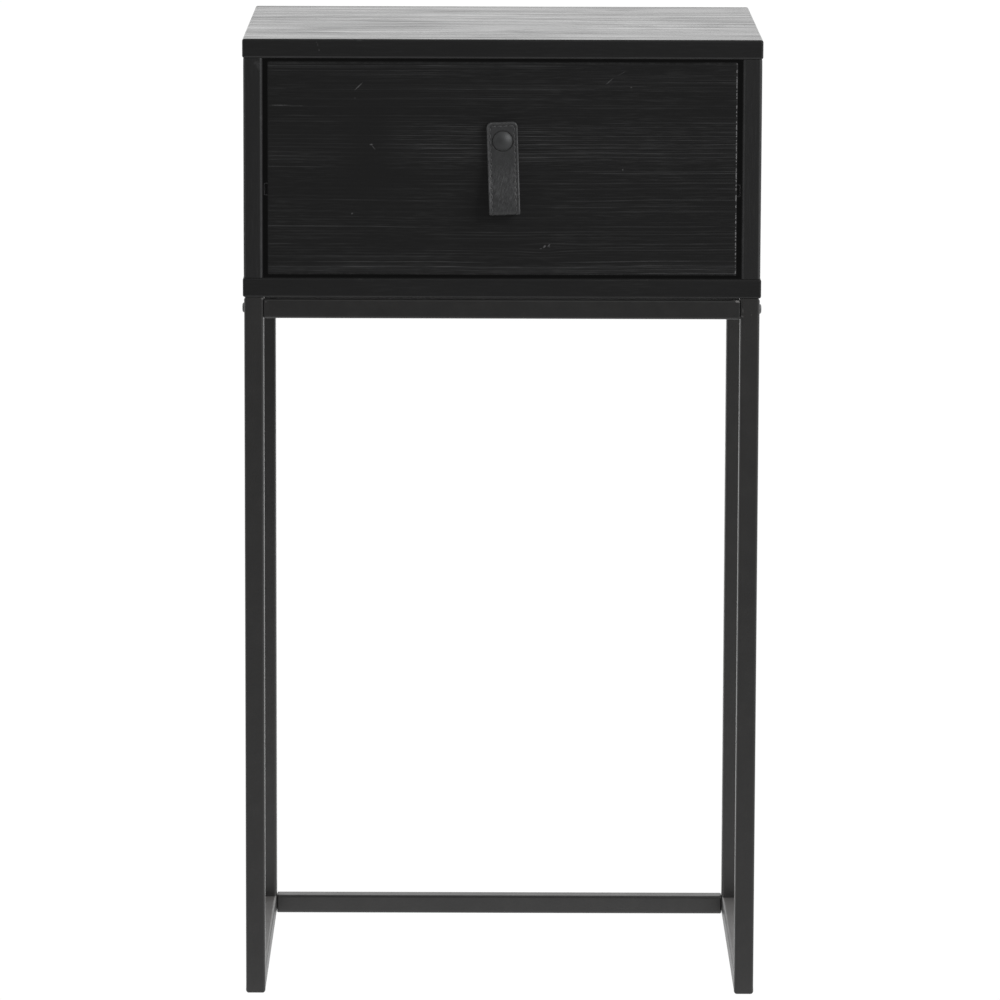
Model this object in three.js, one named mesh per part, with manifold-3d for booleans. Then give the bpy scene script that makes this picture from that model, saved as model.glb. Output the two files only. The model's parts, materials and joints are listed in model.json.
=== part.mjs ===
// Side table with one drawer: a pine box carcass on a knock-down square-tube frame.
// Millimetres, +Z up, -Y is the drawer side. Origin: middle of the overall footprint, on the floor.
import * as THREE from "three";
import { mergeVertices } from "three/addons/utils/BufferGeometryUtils.js";
import Module from "manifold-3d";

const wasm = await Module();
wasm.setup();

// ---------------------------------------------------------------- driving dimensions
const WIDTH = 400; // over the top panel
const DEPTH = 300; // over the top panel
const HEIGHT = 750;
const BOX_H = 200; // carcass height, over its top and bottom panels
const BOARD = 15; // carcass boards
const SIDE_INSET = 0.5; // side panels stand this much inside the top panel
const FRAME_INSET = 1; // tube frame stands this much inside the top panel, each side
const FRAME_END_INSET = 0.5; // and this much inside it, front and back
const TUBE = 15; // square tube
const WALL = 1.25; // tube wall
const TUBE_R = 2; // tube corner radius
const RAIL_GAP = 0.25; // cross rail end to side frame
const RAIL_PLUG = 12; // welded end block of a cross rail
const RAIL_DROP = 1.25; // upper cross rails below the top of the side frames
const BOLT_R = 2; // M4
const BOLT_LEN = 30;
const BOLT_HEAD_R = 3.9;
const BOLT_HEAD_H = 1.6;
const FRONT_RECESS = 1.5; // drawer front behind the top panel's edge
const FRONT_W = 361.5;
const FRONT_Z0 = 567.5;
const FRONT_Z1 = 732.5;
const DRAWER_BOARD = 12;
const SLIDE_SPACE = 12.5; // drawer side to carcass side
const DRAWER_Z0 = 586;
const DRAWER_Z1 = 706;
const DRAWER_LEN = 250;
const STEEL = 1; // slide sheet
const SLIDE_Z = 631; // slide centre line
const SLIDE_H = 10;
const SLIDE_D = 9; // channel depth
const BAR_H = 3.8; // drawer member's bar
const BALL_R = 1;
const STRAP_W = 24;
const LEATHER = 2;
const STRAP_TOP = 686.5;
const STRAP_BOTTOM = 614.5;
const STRAP_SPLIT = 657; // where the strap leaves its clamped part and starts to flex
const STRAP_LEAN = -1.98; // degrees about the stud
const STUD_Z = 672;
const STUD_R = 7.5;
const STUD_H = 3.4;
const LOOP_OUT = 11.5; // how far the folded end stands off the drawer front
const Y_SHIFT = 5; // puts the footprint's middle at the origin, with the pull in front

// ---------------------------------------------------------------- derived
const HW = WIDTH / 2, HD = DEPTH / 2;
const FRAME_H = HEIGHT - BOX_H; // 550
const TOP_Z0 = HEIGHT - BOARD; // 735
const BOT_Z1 = FRAME_H + BOARD; // 565
const SIDE_OUT = HW - SIDE_INSET, SIDE_IN = SIDE_OUT - BOARD; // 199.5, 184.5
const FX = HW - FRAME_INSET, FY = HD - FRAME_END_INSET; // 199, 149.5
const TC = TUBE / 2;
const BACK_Y = HD - 10; // mid plane of the back panel, 140
const FRONT_Y0 = -HD + FRONT_RECESS, FRONT_Y1 = FRONT_Y0 + BOARD; // -148.5, -133.5
const DR_OUT = SIDE_IN - SLIDE_SPACE, DR_IN = DR_OUT - DRAWER_BOARD; // 172, 160
const DR_Y1 = FRONT_Y1 + DRAWER_LEN; // 116.5

// ---------------------------------------------------------------- helpers
function solid(g) {
  const p = g.index ? g.toNonIndexed() : g.clone();
  const bare = new THREE.BufferGeometry().setAttribute("position", p.getAttribute("position"));
  const m = mergeVertices(bare, 1e-4);
  return new wasm.Manifold(new wasm.Mesh({
    numProp: 3,
    vertProperties: new Float32Array(m.attributes.position.array),
    triVerts: new Uint32Array(m.index.array),
  }));
}
function geometry(s) {
  const m = s.getMesh();
  const v = new Float32Array(m.numVert * 3);
  for (let i = 0; i < m.numVert; i++)
    v.set(m.vertProperties.subarray(i * m.numProp, i * m.numProp + 3), i * 3);
  const g = new THREE.BufferGeometry();
  g.setAttribute("position", new THREE.BufferAttribute(v, 3));
  g.setIndex(new THREE.BufferAttribute(new Uint32Array(m.triVerts), 1));
  g.computeVertexNormals();
  return g;
}
function box(x0, x1, y0, y1, z0, z1) {
  return new THREE.BoxGeometry(x1 - x0, y1 - y0, z1 - z0)
    .translate((x0 + x1) / 2, (y0 + y1) / 2, (z0 + z1) / 2);
}
// A solid of revolution: profile [[radius, distance], ...] from axis to axis, turned about the given direction from the given point.
function turned(profile, dir, at, seg = 16) {
  const g = new THREE.LatheGeometry(profile.map(([r, d]) => new THREE.Vector2(r, d)), seg);
  g.applyQuaternion(new THREE.Quaternion().setFromUnitVectors(new THREE.Vector3(0, 1, 0), dir));
  return g.translate(...at);
}
const X = new THREE.Vector3(1, 0, 0), Y = new THREE.Vector3(0, 1, 0), Z = new THREE.Vector3(0, 0, 1);
const NEG = (v) => v.clone().negate();
function rod(r, len, dir, at, seg = 16) {
  return turned([[0, 0], [r, 0], [r, len], [0, len]], dir, at, seg);
}
function cut(base, ...tools) {
  let s = solid(base);
  for (const t of tools) s = s.subtract(solid(t));
  return geometry(s);
}
function join(base, ...more) {
  let s = solid(base);
  for (const t of more) s = s.add(solid(t));
  return geometry(s);
}
function roundedSquare(path, half, r, steps) {
  for (let q = 0; q < 4; q++) {
    const cx = (q === 0 || q === 3 ? 1 : -1) * (half - r), cy = (q < 2 ? 1 : -1) * (half - r);
    for (let i = 0; i <= steps; i++) {
      const a = (q + i / steps) * Math.PI / 2;
      const x = cx + r * Math.cos(a), y = cy + r * Math.sin(a);
      if (q === 0 && i === 0) path.moveTo(x, y);
      else path.lineTo(x, y);
    }
  }
  path.closePath();
  return path;
}
// Square tube along local z, -len/2..len/2. Its outer face is at local y = -TUBE/2; mitred ends slope back from there.
function tube(len, mitred) {
  const ring = roundedSquare(new THREE.Shape(), TC, TUBE_R, 3);
  ring.holes.push(roundedSquare(new THREE.Path(), TC - WALL, TUBE_R - WALL, 2));
  const g = new THREE.ExtrudeGeometry(ring, { depth: len, steps: 1, bevelEnabled: false, curveSegments: 1 });
  g.translate(0, 0, -len / 2);
  if (mitred) {
    const p = g.getAttribute("position");
    for (let i = 0; i < p.count; i++) {
      const z = p.getZ(i);
      p.setZ(i, z - Math.sign(z) * (p.getY(i) + TC));
    }
  }
  return g;
}
function placed(g, ex, ey, ez, at) {
  return g.applyMatrix4(new THREE.Matrix4().makeBasis(ex, ey, ez).setPosition(...at));
}

// ---------------------------------------------------------------- materials
const mat = (color, roughness, metalness = 0) => new THREE.MeshStandardMaterial({ color, roughness, metalness });
const pine = mat(0x202122, 0.5); // black brushed pine
const boxWood = mat(0x2a2724, 0.65); // black-stained drawer box
const hardboard = mat(0x23211f, 0.75);
const coat = mat(0x262626, 0.5, 0.2); // powder coat
const blackSteel = mat(0x303030, 0.4, 0.8);
const runnerSteel = mat(0x3a3b3c, 0.4, 0.7); // black zinc
const nylon = mat(0x1d1d1e, 0.5); // black cage
const leather = mat(0x3a3b3d, 0.65);
const studMetal = mat(0x3c3e40, 0.35, 0.8);
const beech = mat(0xc9a877, 0.7);

const root = new THREE.Group();
const object = new THREE.Group();
object.position.set(0, Y_SHIFT, 0);
root.add(object);
function add(name, g, m, parent = object) {
  const mesh = new THREE.Mesh(g, m);
  mesh.name = name;
  parent.add(mesh);
  return mesh;
}

// ---------------------------------------------------------------- carcass
const SIDES = [["left", -1], ["right", 1]];
const DOWEL_R = 4, DOWEL_HOLE = 4.3;
const DOWEL_Y = [-110, 105];
const SCREW_Y = [-60, 60];
const RUNNER_SCREW_Y = [-100, 100];
const INNER_SCREW_Y = [-95, 85];

function dowelHoles(zFace, up) {
  // from the joint face into the thin board (11.5 mm) or the side panel's end (24.5 mm)
  return SIDES.flatMap(([, s]) => DOWEL_Y.map((y) =>
    rod(DOWEL_HOLE, up, Z, [s * (SIDE_OUT - BOARD / 2), y, zFace], 16)));
}
const backGroove = (z0, z1) => box(-SIDE_IN - 7.5, SIDE_IN + 7.5, BACK_Y - 1.75, BACK_Y + 1.75, z0, z1);

add("top_panel", cut(
  box(-HW, HW, -HD, HD, TOP_Z0, HEIGHT),
  ...dowelHoles(TOP_Z0 - 1, 12.5),
  backGroove(TOP_Z0 - 1, TOP_Z0 + 7),
), pine);
add("bottom_panel", cut(
  box(-HW, HW, -HD, HD, FRAME_H, BOT_Z1),
  ...dowelHoles(BOT_Z1 - 11.5, 12.5),
  backGroove(BOT_Z1 - 7, BOT_Z1 + 1),
  ...SIDES.flatMap(([, s]) => SCREW_Y.map((y) => rod(2.1, 12.5, Z, [s * (FX - TC), y, FRAME_H - 1], 12))),
), pine);
for (const [side, s] of SIDES) {
  const xc = s * (SIDE_OUT - BOARD / 2);
  const [x0, x1] = s < 0 ? [-SIDE_OUT, -SIDE_IN] : [SIDE_IN, SIDE_OUT];
  const gx = s < 0 ? [-SIDE_IN - 7, -SIDE_IN + 1] : [SIDE_IN - 1, SIDE_IN + 7];
  add("side_panel_" + side, cut(
    box(x0, x1, -HD + 0.5, HD, BOT_Z1, TOP_Z0),
    box(gx[0], gx[1], BACK_Y - 1.75, BACK_Y + 1.75, BOT_Z1 - 1, TOP_Z0 + 1),
    ...DOWEL_Y.flatMap((y) => [
      rod(DOWEL_HOLE, 25.5, Z, [xc, y, BOT_Z1 - 1], 16),
      rod(DOWEL_HOLE, 25.5, Z, [xc, y, TOP_Z0 - 24.5], 16),
    ]),
    ...RUNNER_SCREW_Y.map((y) => rod(1.75, 13, s < 0 ? NEG(X) : X, [s * (SIDE_IN - 1), y, SLIDE_Z], 12)),
  ), pine);
}
add("back_panel", box(-SIDE_IN - 6.5, SIDE_IN + 6.5, BACK_Y - 1.5, BACK_Y + 1.5, BOT_Z1 - 6.5, TOP_Z0 + 6.5), hardboard);
for (const [side, s] of SIDES)
  for (const [end, y] of [["front", DOWEL_Y[0]], ["rear", DOWEL_Y[1]]]) {
    const xc = s * (SIDE_OUT - BOARD / 2);
    const dowel = [[0, 0], [DOWEL_R - 0.8, 0], [DOWEL_R, 1], [DOWEL_R, 34], [DOWEL_R - 0.8, 35], [0, 35]];
    add(`dowel_top_${end}_${side}`, turned(dowel, Z, [xc, y, TOP_Z0 - 24], 12), beech);
    add(`dowel_bottom_${end}_${side}`, turned(dowel, Z, [xc, y, BOT_Z1 - 11], 12), beech);
  }

// ---------------------------------------------------------------- tube frame
const BOLTS = [["front_top", -FY + TC, FRAME_H - TC - RAIL_DROP], ["rear_top", FY - TC, FRAME_H - TC - RAIL_DROP], ["rear_bottom", FY - TC, TC]];
for (const [side, s] of SIDES) {
  const x = s * (FX - TC);
  const hole = ([, y, z]) => rod(BOLT_R + 0.3, TUBE + 2, X, [x - TC - 1, y, z], 16);
  add("front_leg_" + side, cut(placed(tube(FRAME_H, true), X, Y, Z, [x, -FY + TC, FRAME_H / 2]), hole(BOLTS[0])), coat);
  add("rear_leg_" + side, cut(placed(tube(FRAME_H, true), NEG(X), NEG(Y), Z, [x, FY - TC, FRAME_H / 2]), hole(BOLTS[1]), hole(BOLTS[2])), coat);
  add("foot_rail_" + side, cut(placed(tube(2 * FY, true), NEG(X), Z, Y, [x, 0, TC]), hole(BOLTS[2])), coat);
  add("top_rail_" + side, cut(placed(tube(2 * FY, true), X, NEG(Z), Y, [x, 0, FRAME_H - TC]),
    hole(BOLTS[0]), hole(BOLTS[1]),
    ...SCREW_Y.map((y) => rod(2.3, TUBE + 2, Z, [x, y, FRAME_H - TUBE - 1], 12))), coat);
}
const railHalf = FX - TUBE - RAIL_GAP;
for (const [name, y, z] of BOLTS) {
  const outer = new THREE.ExtrudeGeometry(roundedSquare(new THREE.Shape(), TC, TUBE_R, 3), { depth: 2 * railHalf, steps: 1, bevelEnabled: false });
  const inner = new THREE.ExtrudeGeometry(roundedSquare(new THREE.Shape(), TC - WALL, TUBE_R - WALL, 2), { depth: 2 * (railHalf - RAIL_PLUG), steps: 1, bevelEnabled: false });
  placed(outer, Y, Z, X, [-railHalf, y, z]);
  placed(inner, Y, Z, X, [-railHalf + RAIL_PLUG, y, z]);
  add("cross_rail_" + name, cut(outer, inner,
    rod(BOLT_R + 0.15, RAIL_PLUG + 2, X, [-railHalf - 1, y, z], 16),
    rod(BOLT_R + 0.15, RAIL_PLUG + 2, X, [railHalf - RAIL_PLUG - 1, y, z], 16)), coat);
}
for (const [name, y, z] of BOLTS)
  for (const [side, s] of SIDES) {
    const p = [[0, -BOLT_HEAD_H], [BOLT_HEAD_R * 0.45, -BOLT_HEAD_H], [BOLT_HEAD_R * 0.78, -BOLT_HEAD_H * 0.7], [BOLT_HEAD_R * 0.96, -BOLT_HEAD_H * 0.3], [BOLT_HEAD_R, 0],
      [BOLT_R, 0], [BOLT_R, BOLT_LEN - 0.6], [BOLT_R - 0.6, BOLT_LEN], [0, BOLT_LEN]];
    const socket = new THREE.CylinderGeometry(1.45, 1.45, 1.8, 6);
    const bolt = new THREE.Group();
    const g = turned(p, Y, [0, 0, 0], 18);
    const cutG = cut(g, socket.translate(0, -BOLT_HEAD_H + 0.4, 0));
    const q = new THREE.Quaternion().setFromUnitVectors(new THREE.Vector3(0, 1, 0), s < 0 ? X : NEG(X));
    cutG.applyQuaternion(q).translate(s * FX, y, z);
    add(`frame_bolt_${name}_${side}`, cutG, blackSteel);
  }
for (const [side, s] of SIDES)
  for (const [end, y] of [["front", SCREW_Y[0]], ["rear", SCREW_Y[1]]])
    add(`carcass_screw_${end}_${side}`, turned(
      [[0, -2.6], [2.4, -2.6], [3.6, -1.6], [4, 0], [2, 0], [2, 22], [0.4, 26], [0, 26]],
      Z, [s * (FX - TC), y, FRAME_H - TUBE], 12), blackSteel);

// ---------------------------------------------------------------- drawer
const GROOVE = [596, 599.5];
const DADO = 6;
add("drawer_front", cut(
  box(-FRONT_W / 2, FRONT_W / 2, FRONT_Y0, FRONT_Y1, FRONT_Z0, FRONT_Z1),
  box(-DR_OUT - 0.25, -DR_IN + 0.25, FRONT_Y1 - DADO, FRONT_Y1 + 1, DRAWER_Z0 - 0.25, DRAWER_Z1 + 0.25),
  box(DR_IN - 0.25, DR_OUT + 0.25, FRONT_Y1 - DADO, FRONT_Y1 + 1, DRAWER_Z0 - 0.25, DRAWER_Z1 + 0.25),
  box(-DR_IN - 1, DR_IN + 1, FRONT_Y1 - DADO, FRONT_Y1 + 1, GROOVE[0], GROOVE[1]),
  rod(2.75, BOARD + 2, Y, [0, FRONT_Y0 - 1, STUD_Z], 16),
), pine);
for (const [side, s] of SIDES) {
  const [x0, x1] = s < 0 ? [-DR_OUT, -DR_IN] : [DR_IN, DR_OUT];
  const gx = s < 0 ? [-DR_IN - 6, -DR_IN + 1] : [DR_IN - 1, DR_IN + 6];
  add("drawer_side_" + side, cut(
    box(x0, x1, FRONT_Y1 - DADO + 0.25, DR_Y1, DRAWER_Z0, DRAWER_Z1),
    box(gx[0], gx[1], FRONT_Y1 - DADO - 1, DR_Y1 + 1, GROOVE[0], GROOVE[1]),
    ...INNER_SCREW_Y.map((y) => rod(1.75, DRAWER_BOARD + 2, s < 0 ? X : NEG(X), [s * (DR_OUT + 1), y, SLIDE_Z], 14)),
  ), boxWood);
}
add("drawer_back", cut(
  box(-DR_IN, DR_IN, DR_Y1 - DRAWER_BOARD, DR_Y1, DRAWER_Z0, DRAWER_Z1),
  box(-DR_IN - 1, DR_IN + 1, DR_Y1 - DRAWER_BOARD - 1, DR_Y1 - DRAWER_BOARD + DADO, GROOVE[0], GROOVE[1]),
), boxWood);
add("drawer_bottom", box(-DR_IN - 5.75, DR_IN + 5.75, FRONT_Y1 - DADO + 0.25, DR_Y1 - DRAWER_BOARD + DADO - 0.25, GROOVE[0] + 0.25, GROOVE[1] - 0.25), hardboard);

// ---------------------------------------------------------------- slim ball slides
// Carcass member: a C channel. Drawer member: a bar on a thin plate. Between them runs a cage of balls, at half the drawer's speed.
const OUT_Y0 = -HD + 27, OUT_Y1 = OUT_Y0 + 250;
const IN_Y0 = FRONT_Y1 + 3, IN_Y1 = DR_Y1 - 2;
const CAGE_Y0 = OUT_Y0 + 97, CAGE_Y1 = CAGE_Y0 + 56;
const sx = (s, a, b) => (s < 0 ? [-b, -a] : [a, b]);
const SH = SLIDE_H / 2;
const BALL_Z = (BAR_H / 2 + SH - STEEL) / 2;
for (const [side, s] of SIDES) {
  const out = s < 0 ? NEG(X) : X, inw = s < 0 ? X : NEG(X);
  const at = (x0, x1, y0, y1, z0, z1) => box(...sx(s, x0, x1), y0, y1, SLIDE_Z + z0, SLIDE_Z + z1);
  add("slide_channel_" + side, geometry(
    RUNNER_SCREW_Y.reduce((m, y) => m.subtract(solid(turned([[0, -0.5], [3.8, -0.5], [3.15, 0], [1.85, 1.05], [1.85, 2], [0, 2]], out, [s * (SIDE_IN - STEEL - 0.1), y, SLIDE_Z], 14))),
      solid(join(
        at(SIDE_IN - STEEL, SIDE_IN, OUT_Y0, OUT_Y1, -SH, SH),
        at(SIDE_IN - SLIDE_D, SIDE_IN, OUT_Y0, OUT_Y1, SH - STEEL, SH),
        at(SIDE_IN - SLIDE_D, SIDE_IN, OUT_Y0, OUT_Y1, -SH, -SH + STEEL),
        at(SIDE_IN - SLIDE_D, SIDE_IN - SLIDE_D + 0.7, OUT_Y0, OUT_Y1, SH - STEEL - 0.7, SH),
        at(SIDE_IN - SLIDE_D, SIDE_IN - SLIDE_D + 0.7, OUT_Y0, OUT_Y1, -SH, -SH + STEEL + 0.7),
      )))), runnerSteel);
  add("slide_bar_" + side, geometry(
    INNER_SCREW_Y.reduce((m, y) => m.subtract(solid(rod(1.75, 7.5, out, [s * (DR_OUT - 1), y, SLIDE_Z], 14))),
      solid(join(
        at(DR_OUT, DR_OUT + STEEL, IN_Y0, IN_Y1, -SH, SH),
        at(DR_OUT, SIDE_IN - 3.5, IN_Y0, IN_Y1, -BAR_H / 2, BAR_H / 2),
      )))), runnerSteel);
  const balls = [];
  for (let i = 0; i < 5; i++)
    for (const u of [-1, 1]) {
      const g = new THREE.SphereGeometry(BALL_R, 12, 8);
      balls.push(g.translate(s * (SIDE_IN - 5.9), CAGE_Y0 + 6 + i * 11, SLIDE_Z + u * BALL_Z));
    }
  add("slide_cage_" + side, join(
    at(SIDE_IN - 3.0, SIDE_IN - 2.3, CAGE_Y0, CAGE_Y1, -BALL_Z - 0.3, BALL_Z + 0.3),
    at(SIDE_IN - 7.2, SIDE_IN - 2.3, CAGE_Y0, CAGE_Y1, BALL_Z - 0.3, BALL_Z + 0.3),
    at(SIDE_IN - 7.2, SIDE_IN - 2.3, CAGE_Y0, CAGE_Y1, -BALL_Z - 0.3, -BALL_Z + 0.3),
    ...balls), nylon);
  // flat-head screws into the carcass side, and machine screws from inside the drawer into the bar
  const flat = [[0, 0], [3, 0], [1.7, 1], [1.6, 1.1], [1.6, 9], [0, 11]];
  const pan = [[0, -1.9], [1.9, -1.9], [3.1, -1.1], [3.3, 0], [1.6, 0], [1.6, 17], [0, 17.5]];
  RUNNER_SCREW_Y.forEach((y, i) => {
    add(`slide_channel_screw_${i ? "rear" : "front"}_${side}`, turned(flat, out, [s * (SIDE_IN - STEEL - 0.1), y, SLIDE_Z], 14), blackSteel);
  });
  INNER_SCREW_Y.forEach((y, i) => {
    add(`slide_bar_screw_${i ? "rear" : "front"}_${side}`, turned(pan, out, [s * DR_IN, y, SLIDE_Z], 14), blackSteel);
  });
}

// ---------------------------------------------------------------- leather pull
// Side profile in (distance off the drawer front, z); the strap turns about the stud by STRAP_LEAN.
const pull = new THREE.Group();
pull.position.set(0, FRONT_Y0, STUD_Z);
pull.rotation.y = THREE.MathUtils.degToRad(STRAP_LEAN);
object.add(pull);
const OFF = 0.5; // strap to drawer front
const SPLIT_GAP = 0.3; // between the clamped head and the rounded end that flexes under it
function headGeometry() {
  const w = STRAP_W / 2, r = 4, top = STRAP_TOP - STUD_Z, low = STRAP_SPLIT - STUD_Z + LEATHER + SPLIT_GAP;
  const sh = new THREE.Shape();
  sh.moveTo(-w, low);
  sh.lineTo(w, low);
  for (let i = 0; i <= 5; i++) sh.lineTo(w - r + r * Math.cos(i / 5 * Math.PI / 2), top - r + r * Math.sin(i / 5 * Math.PI / 2));
  for (let i = 0; i <= 5; i++) sh.lineTo(-w + r - r * Math.sin(i / 5 * Math.PI / 2), top - r + r * Math.cos(i / 5 * Math.PI / 2));
  sh.closePath();
  const hole = new THREE.Path();
  for (let i = 0; i < 16; i++) {
    const a = i / 16 * 2 * Math.PI;
    if (i) hole.lineTo(2.75 * Math.cos(a), 2.75 * Math.sin(a));
    else hole.moveTo(2.75, 0);
  }
  hole.closePath();
  sh.holes.push(hole);
  const g = new THREE.ExtrudeGeometry(sh, { depth: 2 * LEATHER, steps: 1, bevelEnabled: false, curveSegments: 1 });
  // shape plane x-y becomes x-z, its depth goes out of the drawer front
  return placed(g, X, Z, NEG(Y), [0, -OFF, 0]);
}
function loopGeometry() {
  const t = LEATHER, top = STRAP_SPLIT - STUD_Z, bottom = STRAP_BOTTOM - STUD_Z;
  const R = (LOOP_OUT - OFF) / 2, c = OFF + R, zc = bottom + R; // fold
  const outer = [], inner = [];
  const bend = zc + 2;
  outer.push([OFF, top], [OFF, zc]);
  for (let i = 1; i < 10; i++) outer.push([c - R * Math.cos(i / 10 * Math.PI), zc - R * Math.sin(i / 10 * Math.PI)]);
  outer.push([LOOP_OUT, zc], [LOOP_OUT - 0.25, bend + 3], [LOOP_OUT - 2, bend + 11], [OFF + 2 * t + 0.75, top - 8], [OFF + 2 * t, top]);
  // half-round top end, about the line the strap flexes on
  for (let i = 1; i < 8; i++) outer.push([OFF + t + t * Math.cos(i / 8 * Math.PI), top + t * Math.sin(i / 8 * Math.PI)]);
  const ri = R - t;
  inner.push([OFF + t, top - 7], [OFF + t, zc]);
  for (let i = 1; i < 8; i++) inner.push([c - ri * Math.cos(i / 8 * Math.PI), zc - ri * Math.sin(i / 8 * Math.PI)]);
  inner.push([LOOP_OUT - t, zc], [LOOP_OUT - 0.25 - t, bend + 3], [LOOP_OUT - 2 - t * 1.05, bend + 11]);
  const sh = new THREE.Shape();
  outer.forEach(([a, b], i) => (i ? sh.lineTo(a, b) : sh.moveTo(a, b)));
  sh.closePath();
  const hole = new THREE.Path();
  inner.forEach(([a, b], i) => (i ? hole.lineTo(a, b) : hole.moveTo(a, b)));
  hole.closePath();
  sh.holes.push(hole);
  const g = new THREE.ExtrudeGeometry(sh, { depth: STRAP_W, steps: 1, bevelEnabled: false, curveSegments: 1 });
  // shape x is off the drawer front (-Y), shape y is Z, depth along the width
  return placed(g, NEG(Y), Z, NEG(X), [STRAP_W / 2, 0, 0]);
}
add("pull_strap_head", headGeometry(), leather, pull);
add("pull_strap_loop", loopGeometry(), leather, pull);
const seat = OFF + 2 * LEATHER + 0.1;
add("pull_stud", geometry(solid(turned([
  [0, -STUD_H], [3, -STUD_H + 0.25], [5.2, -STUD_H + 0.95], [6.8, -STUD_H + 2], [STUD_R, -0.5], [STUD_R - 0.3, 0],
  [2.5, 0], [2.5, 15.25], [0, 15.25]], Y, [0, FRONT_Y0 - seat, STUD_Z], 24))
  .subtract(solid(rod(1.8, 13, Y, [0, FRONT_Y0 - seat + 3.5, STUD_Z], 14)))), studMetal);
add("pull_screw", turned([[0, -13.5], [1.2, -13.5], [1.6, -13], [1.6, 0], [3.6, 0], [3.4, 1.6], [2.2, 2.4], [0, 2.4]], Y, [0, FRONT_Y1, STUD_Z], 14), blackSteel);

export default root;
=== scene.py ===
import json
import math

import bmesh
import bpy
import numpy as np
from mathutils import Matrix, Vector


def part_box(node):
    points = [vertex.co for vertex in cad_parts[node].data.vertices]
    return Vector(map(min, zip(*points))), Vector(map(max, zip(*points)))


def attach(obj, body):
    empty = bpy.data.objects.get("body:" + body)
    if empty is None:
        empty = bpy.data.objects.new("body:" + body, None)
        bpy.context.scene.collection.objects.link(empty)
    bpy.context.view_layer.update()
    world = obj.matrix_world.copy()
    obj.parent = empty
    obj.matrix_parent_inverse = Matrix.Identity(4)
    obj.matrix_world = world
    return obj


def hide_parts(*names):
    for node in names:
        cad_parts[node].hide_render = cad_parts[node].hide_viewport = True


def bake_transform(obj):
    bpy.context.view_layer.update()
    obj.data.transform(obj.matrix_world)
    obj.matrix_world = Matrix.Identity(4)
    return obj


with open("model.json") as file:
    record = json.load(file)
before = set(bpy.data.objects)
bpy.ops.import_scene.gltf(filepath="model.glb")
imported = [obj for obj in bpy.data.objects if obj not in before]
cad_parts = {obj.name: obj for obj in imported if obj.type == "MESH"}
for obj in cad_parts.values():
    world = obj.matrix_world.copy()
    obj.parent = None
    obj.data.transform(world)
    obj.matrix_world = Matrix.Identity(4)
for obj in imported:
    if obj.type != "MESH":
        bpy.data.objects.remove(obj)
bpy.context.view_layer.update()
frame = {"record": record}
MM = 0.001
record = frame["record"]


def nb(node):
    """A CAD node's box at rest, in millimetres: x0, x1, y0, y1, z0, z1."""
    lo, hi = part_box(node)
    return lo.x * 1000, hi.x * 1000, lo.y * 1000, hi.y * 1000, lo.z * 1000, hi.z * 1000


# ------------------------------------------------------------------ camera
FRONT = nb("top_panel")[2]
cam_data = bpy.data.cameras.new("camera")
camera = bpy.data.objects.new("camera", cam_data)
bpy.context.scene.collection.objects.link(camera)
cam_data.sensor_width = 36.0
cam_data.lens = 236.22
cam_data.clip_start, cam_data.clip_end = 0.05, 60
yaw, pitch, roll = (math.radians(a) for a in (0.1172, 9.1462, 0.1890))
fwd = Vector((math.sin(yaw) * math.cos(pitch), math.cos(yaw) * math.cos(pitch), -math.sin(pitch)))
right = Vector((math.cos(yaw), -math.sin(yaw), 0))
up = right.cross(fwd)
r2 = right * math.cos(roll) + up * math.sin(roll)
u2 = up * math.cos(roll) - right * math.sin(roll)
camera.matrix_world = Matrix((
    (r2.x, u2.x, -fwd.x, -0.01127), (r2.y, u2.y, -fwd.y, -5.1678), (r2.z, u2.z, -fwd.z, 1.2010), (0, 0, 0, 1)))
bpy.context.scene.camera = camera
bpy.context.scene.view_settings.view_transform = "Standard"
bpy.context.scene.view_settings.look = "None"
# the veiling glare of a lens in front of an all-white studio: the deepest gaps are dark grey, not black
bpy.context.scene.view_settings.use_curve_mapping = True
glare = bpy.context.scene.view_settings.curve_mapping
glare.black_level = (-0.005, -0.005, -0.005)
glare.update()


# ------------------------------------------------------------------ smooth noise in numpy
def lattice(x, y, seed):
    """Smooth value noise, 0 to 1, with a feature size of 1."""
    xi, yi = np.floor(x).astype(np.int64), np.floor(y).astype(np.int64)
    fx, fy = x - xi, y - yi
    fx, fy = fx * fx * fx * (fx * (fx * 6 - 15) + 10), fy * fy * fy * (fy * (fy * 6 - 15) + 10)

    def h(i, j):
        n = (i * 374761393 + j * 668265263 + seed * 1442695041) & 0xFFFFFFFF
        n = ((n ^ (n >> 13)) * 1274126177) & 0xFFFFFFFF
        n = ((n ^ (n >> 16)) * 2246822519) & 0xFFFFFFFF
        return ((n ^ (n >> 15)) & 0xFFFFFF) / float(0xFFFFFF)

    a, b, c, d = h(xi, yi), h(xi + 1, yi), h(xi, yi + 1), h(xi + 1, yi + 1)
    return (a * (1 - fx) + b * fx) * (1 - fy) + (c * (1 - fx) + d * fx) * fy


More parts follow.
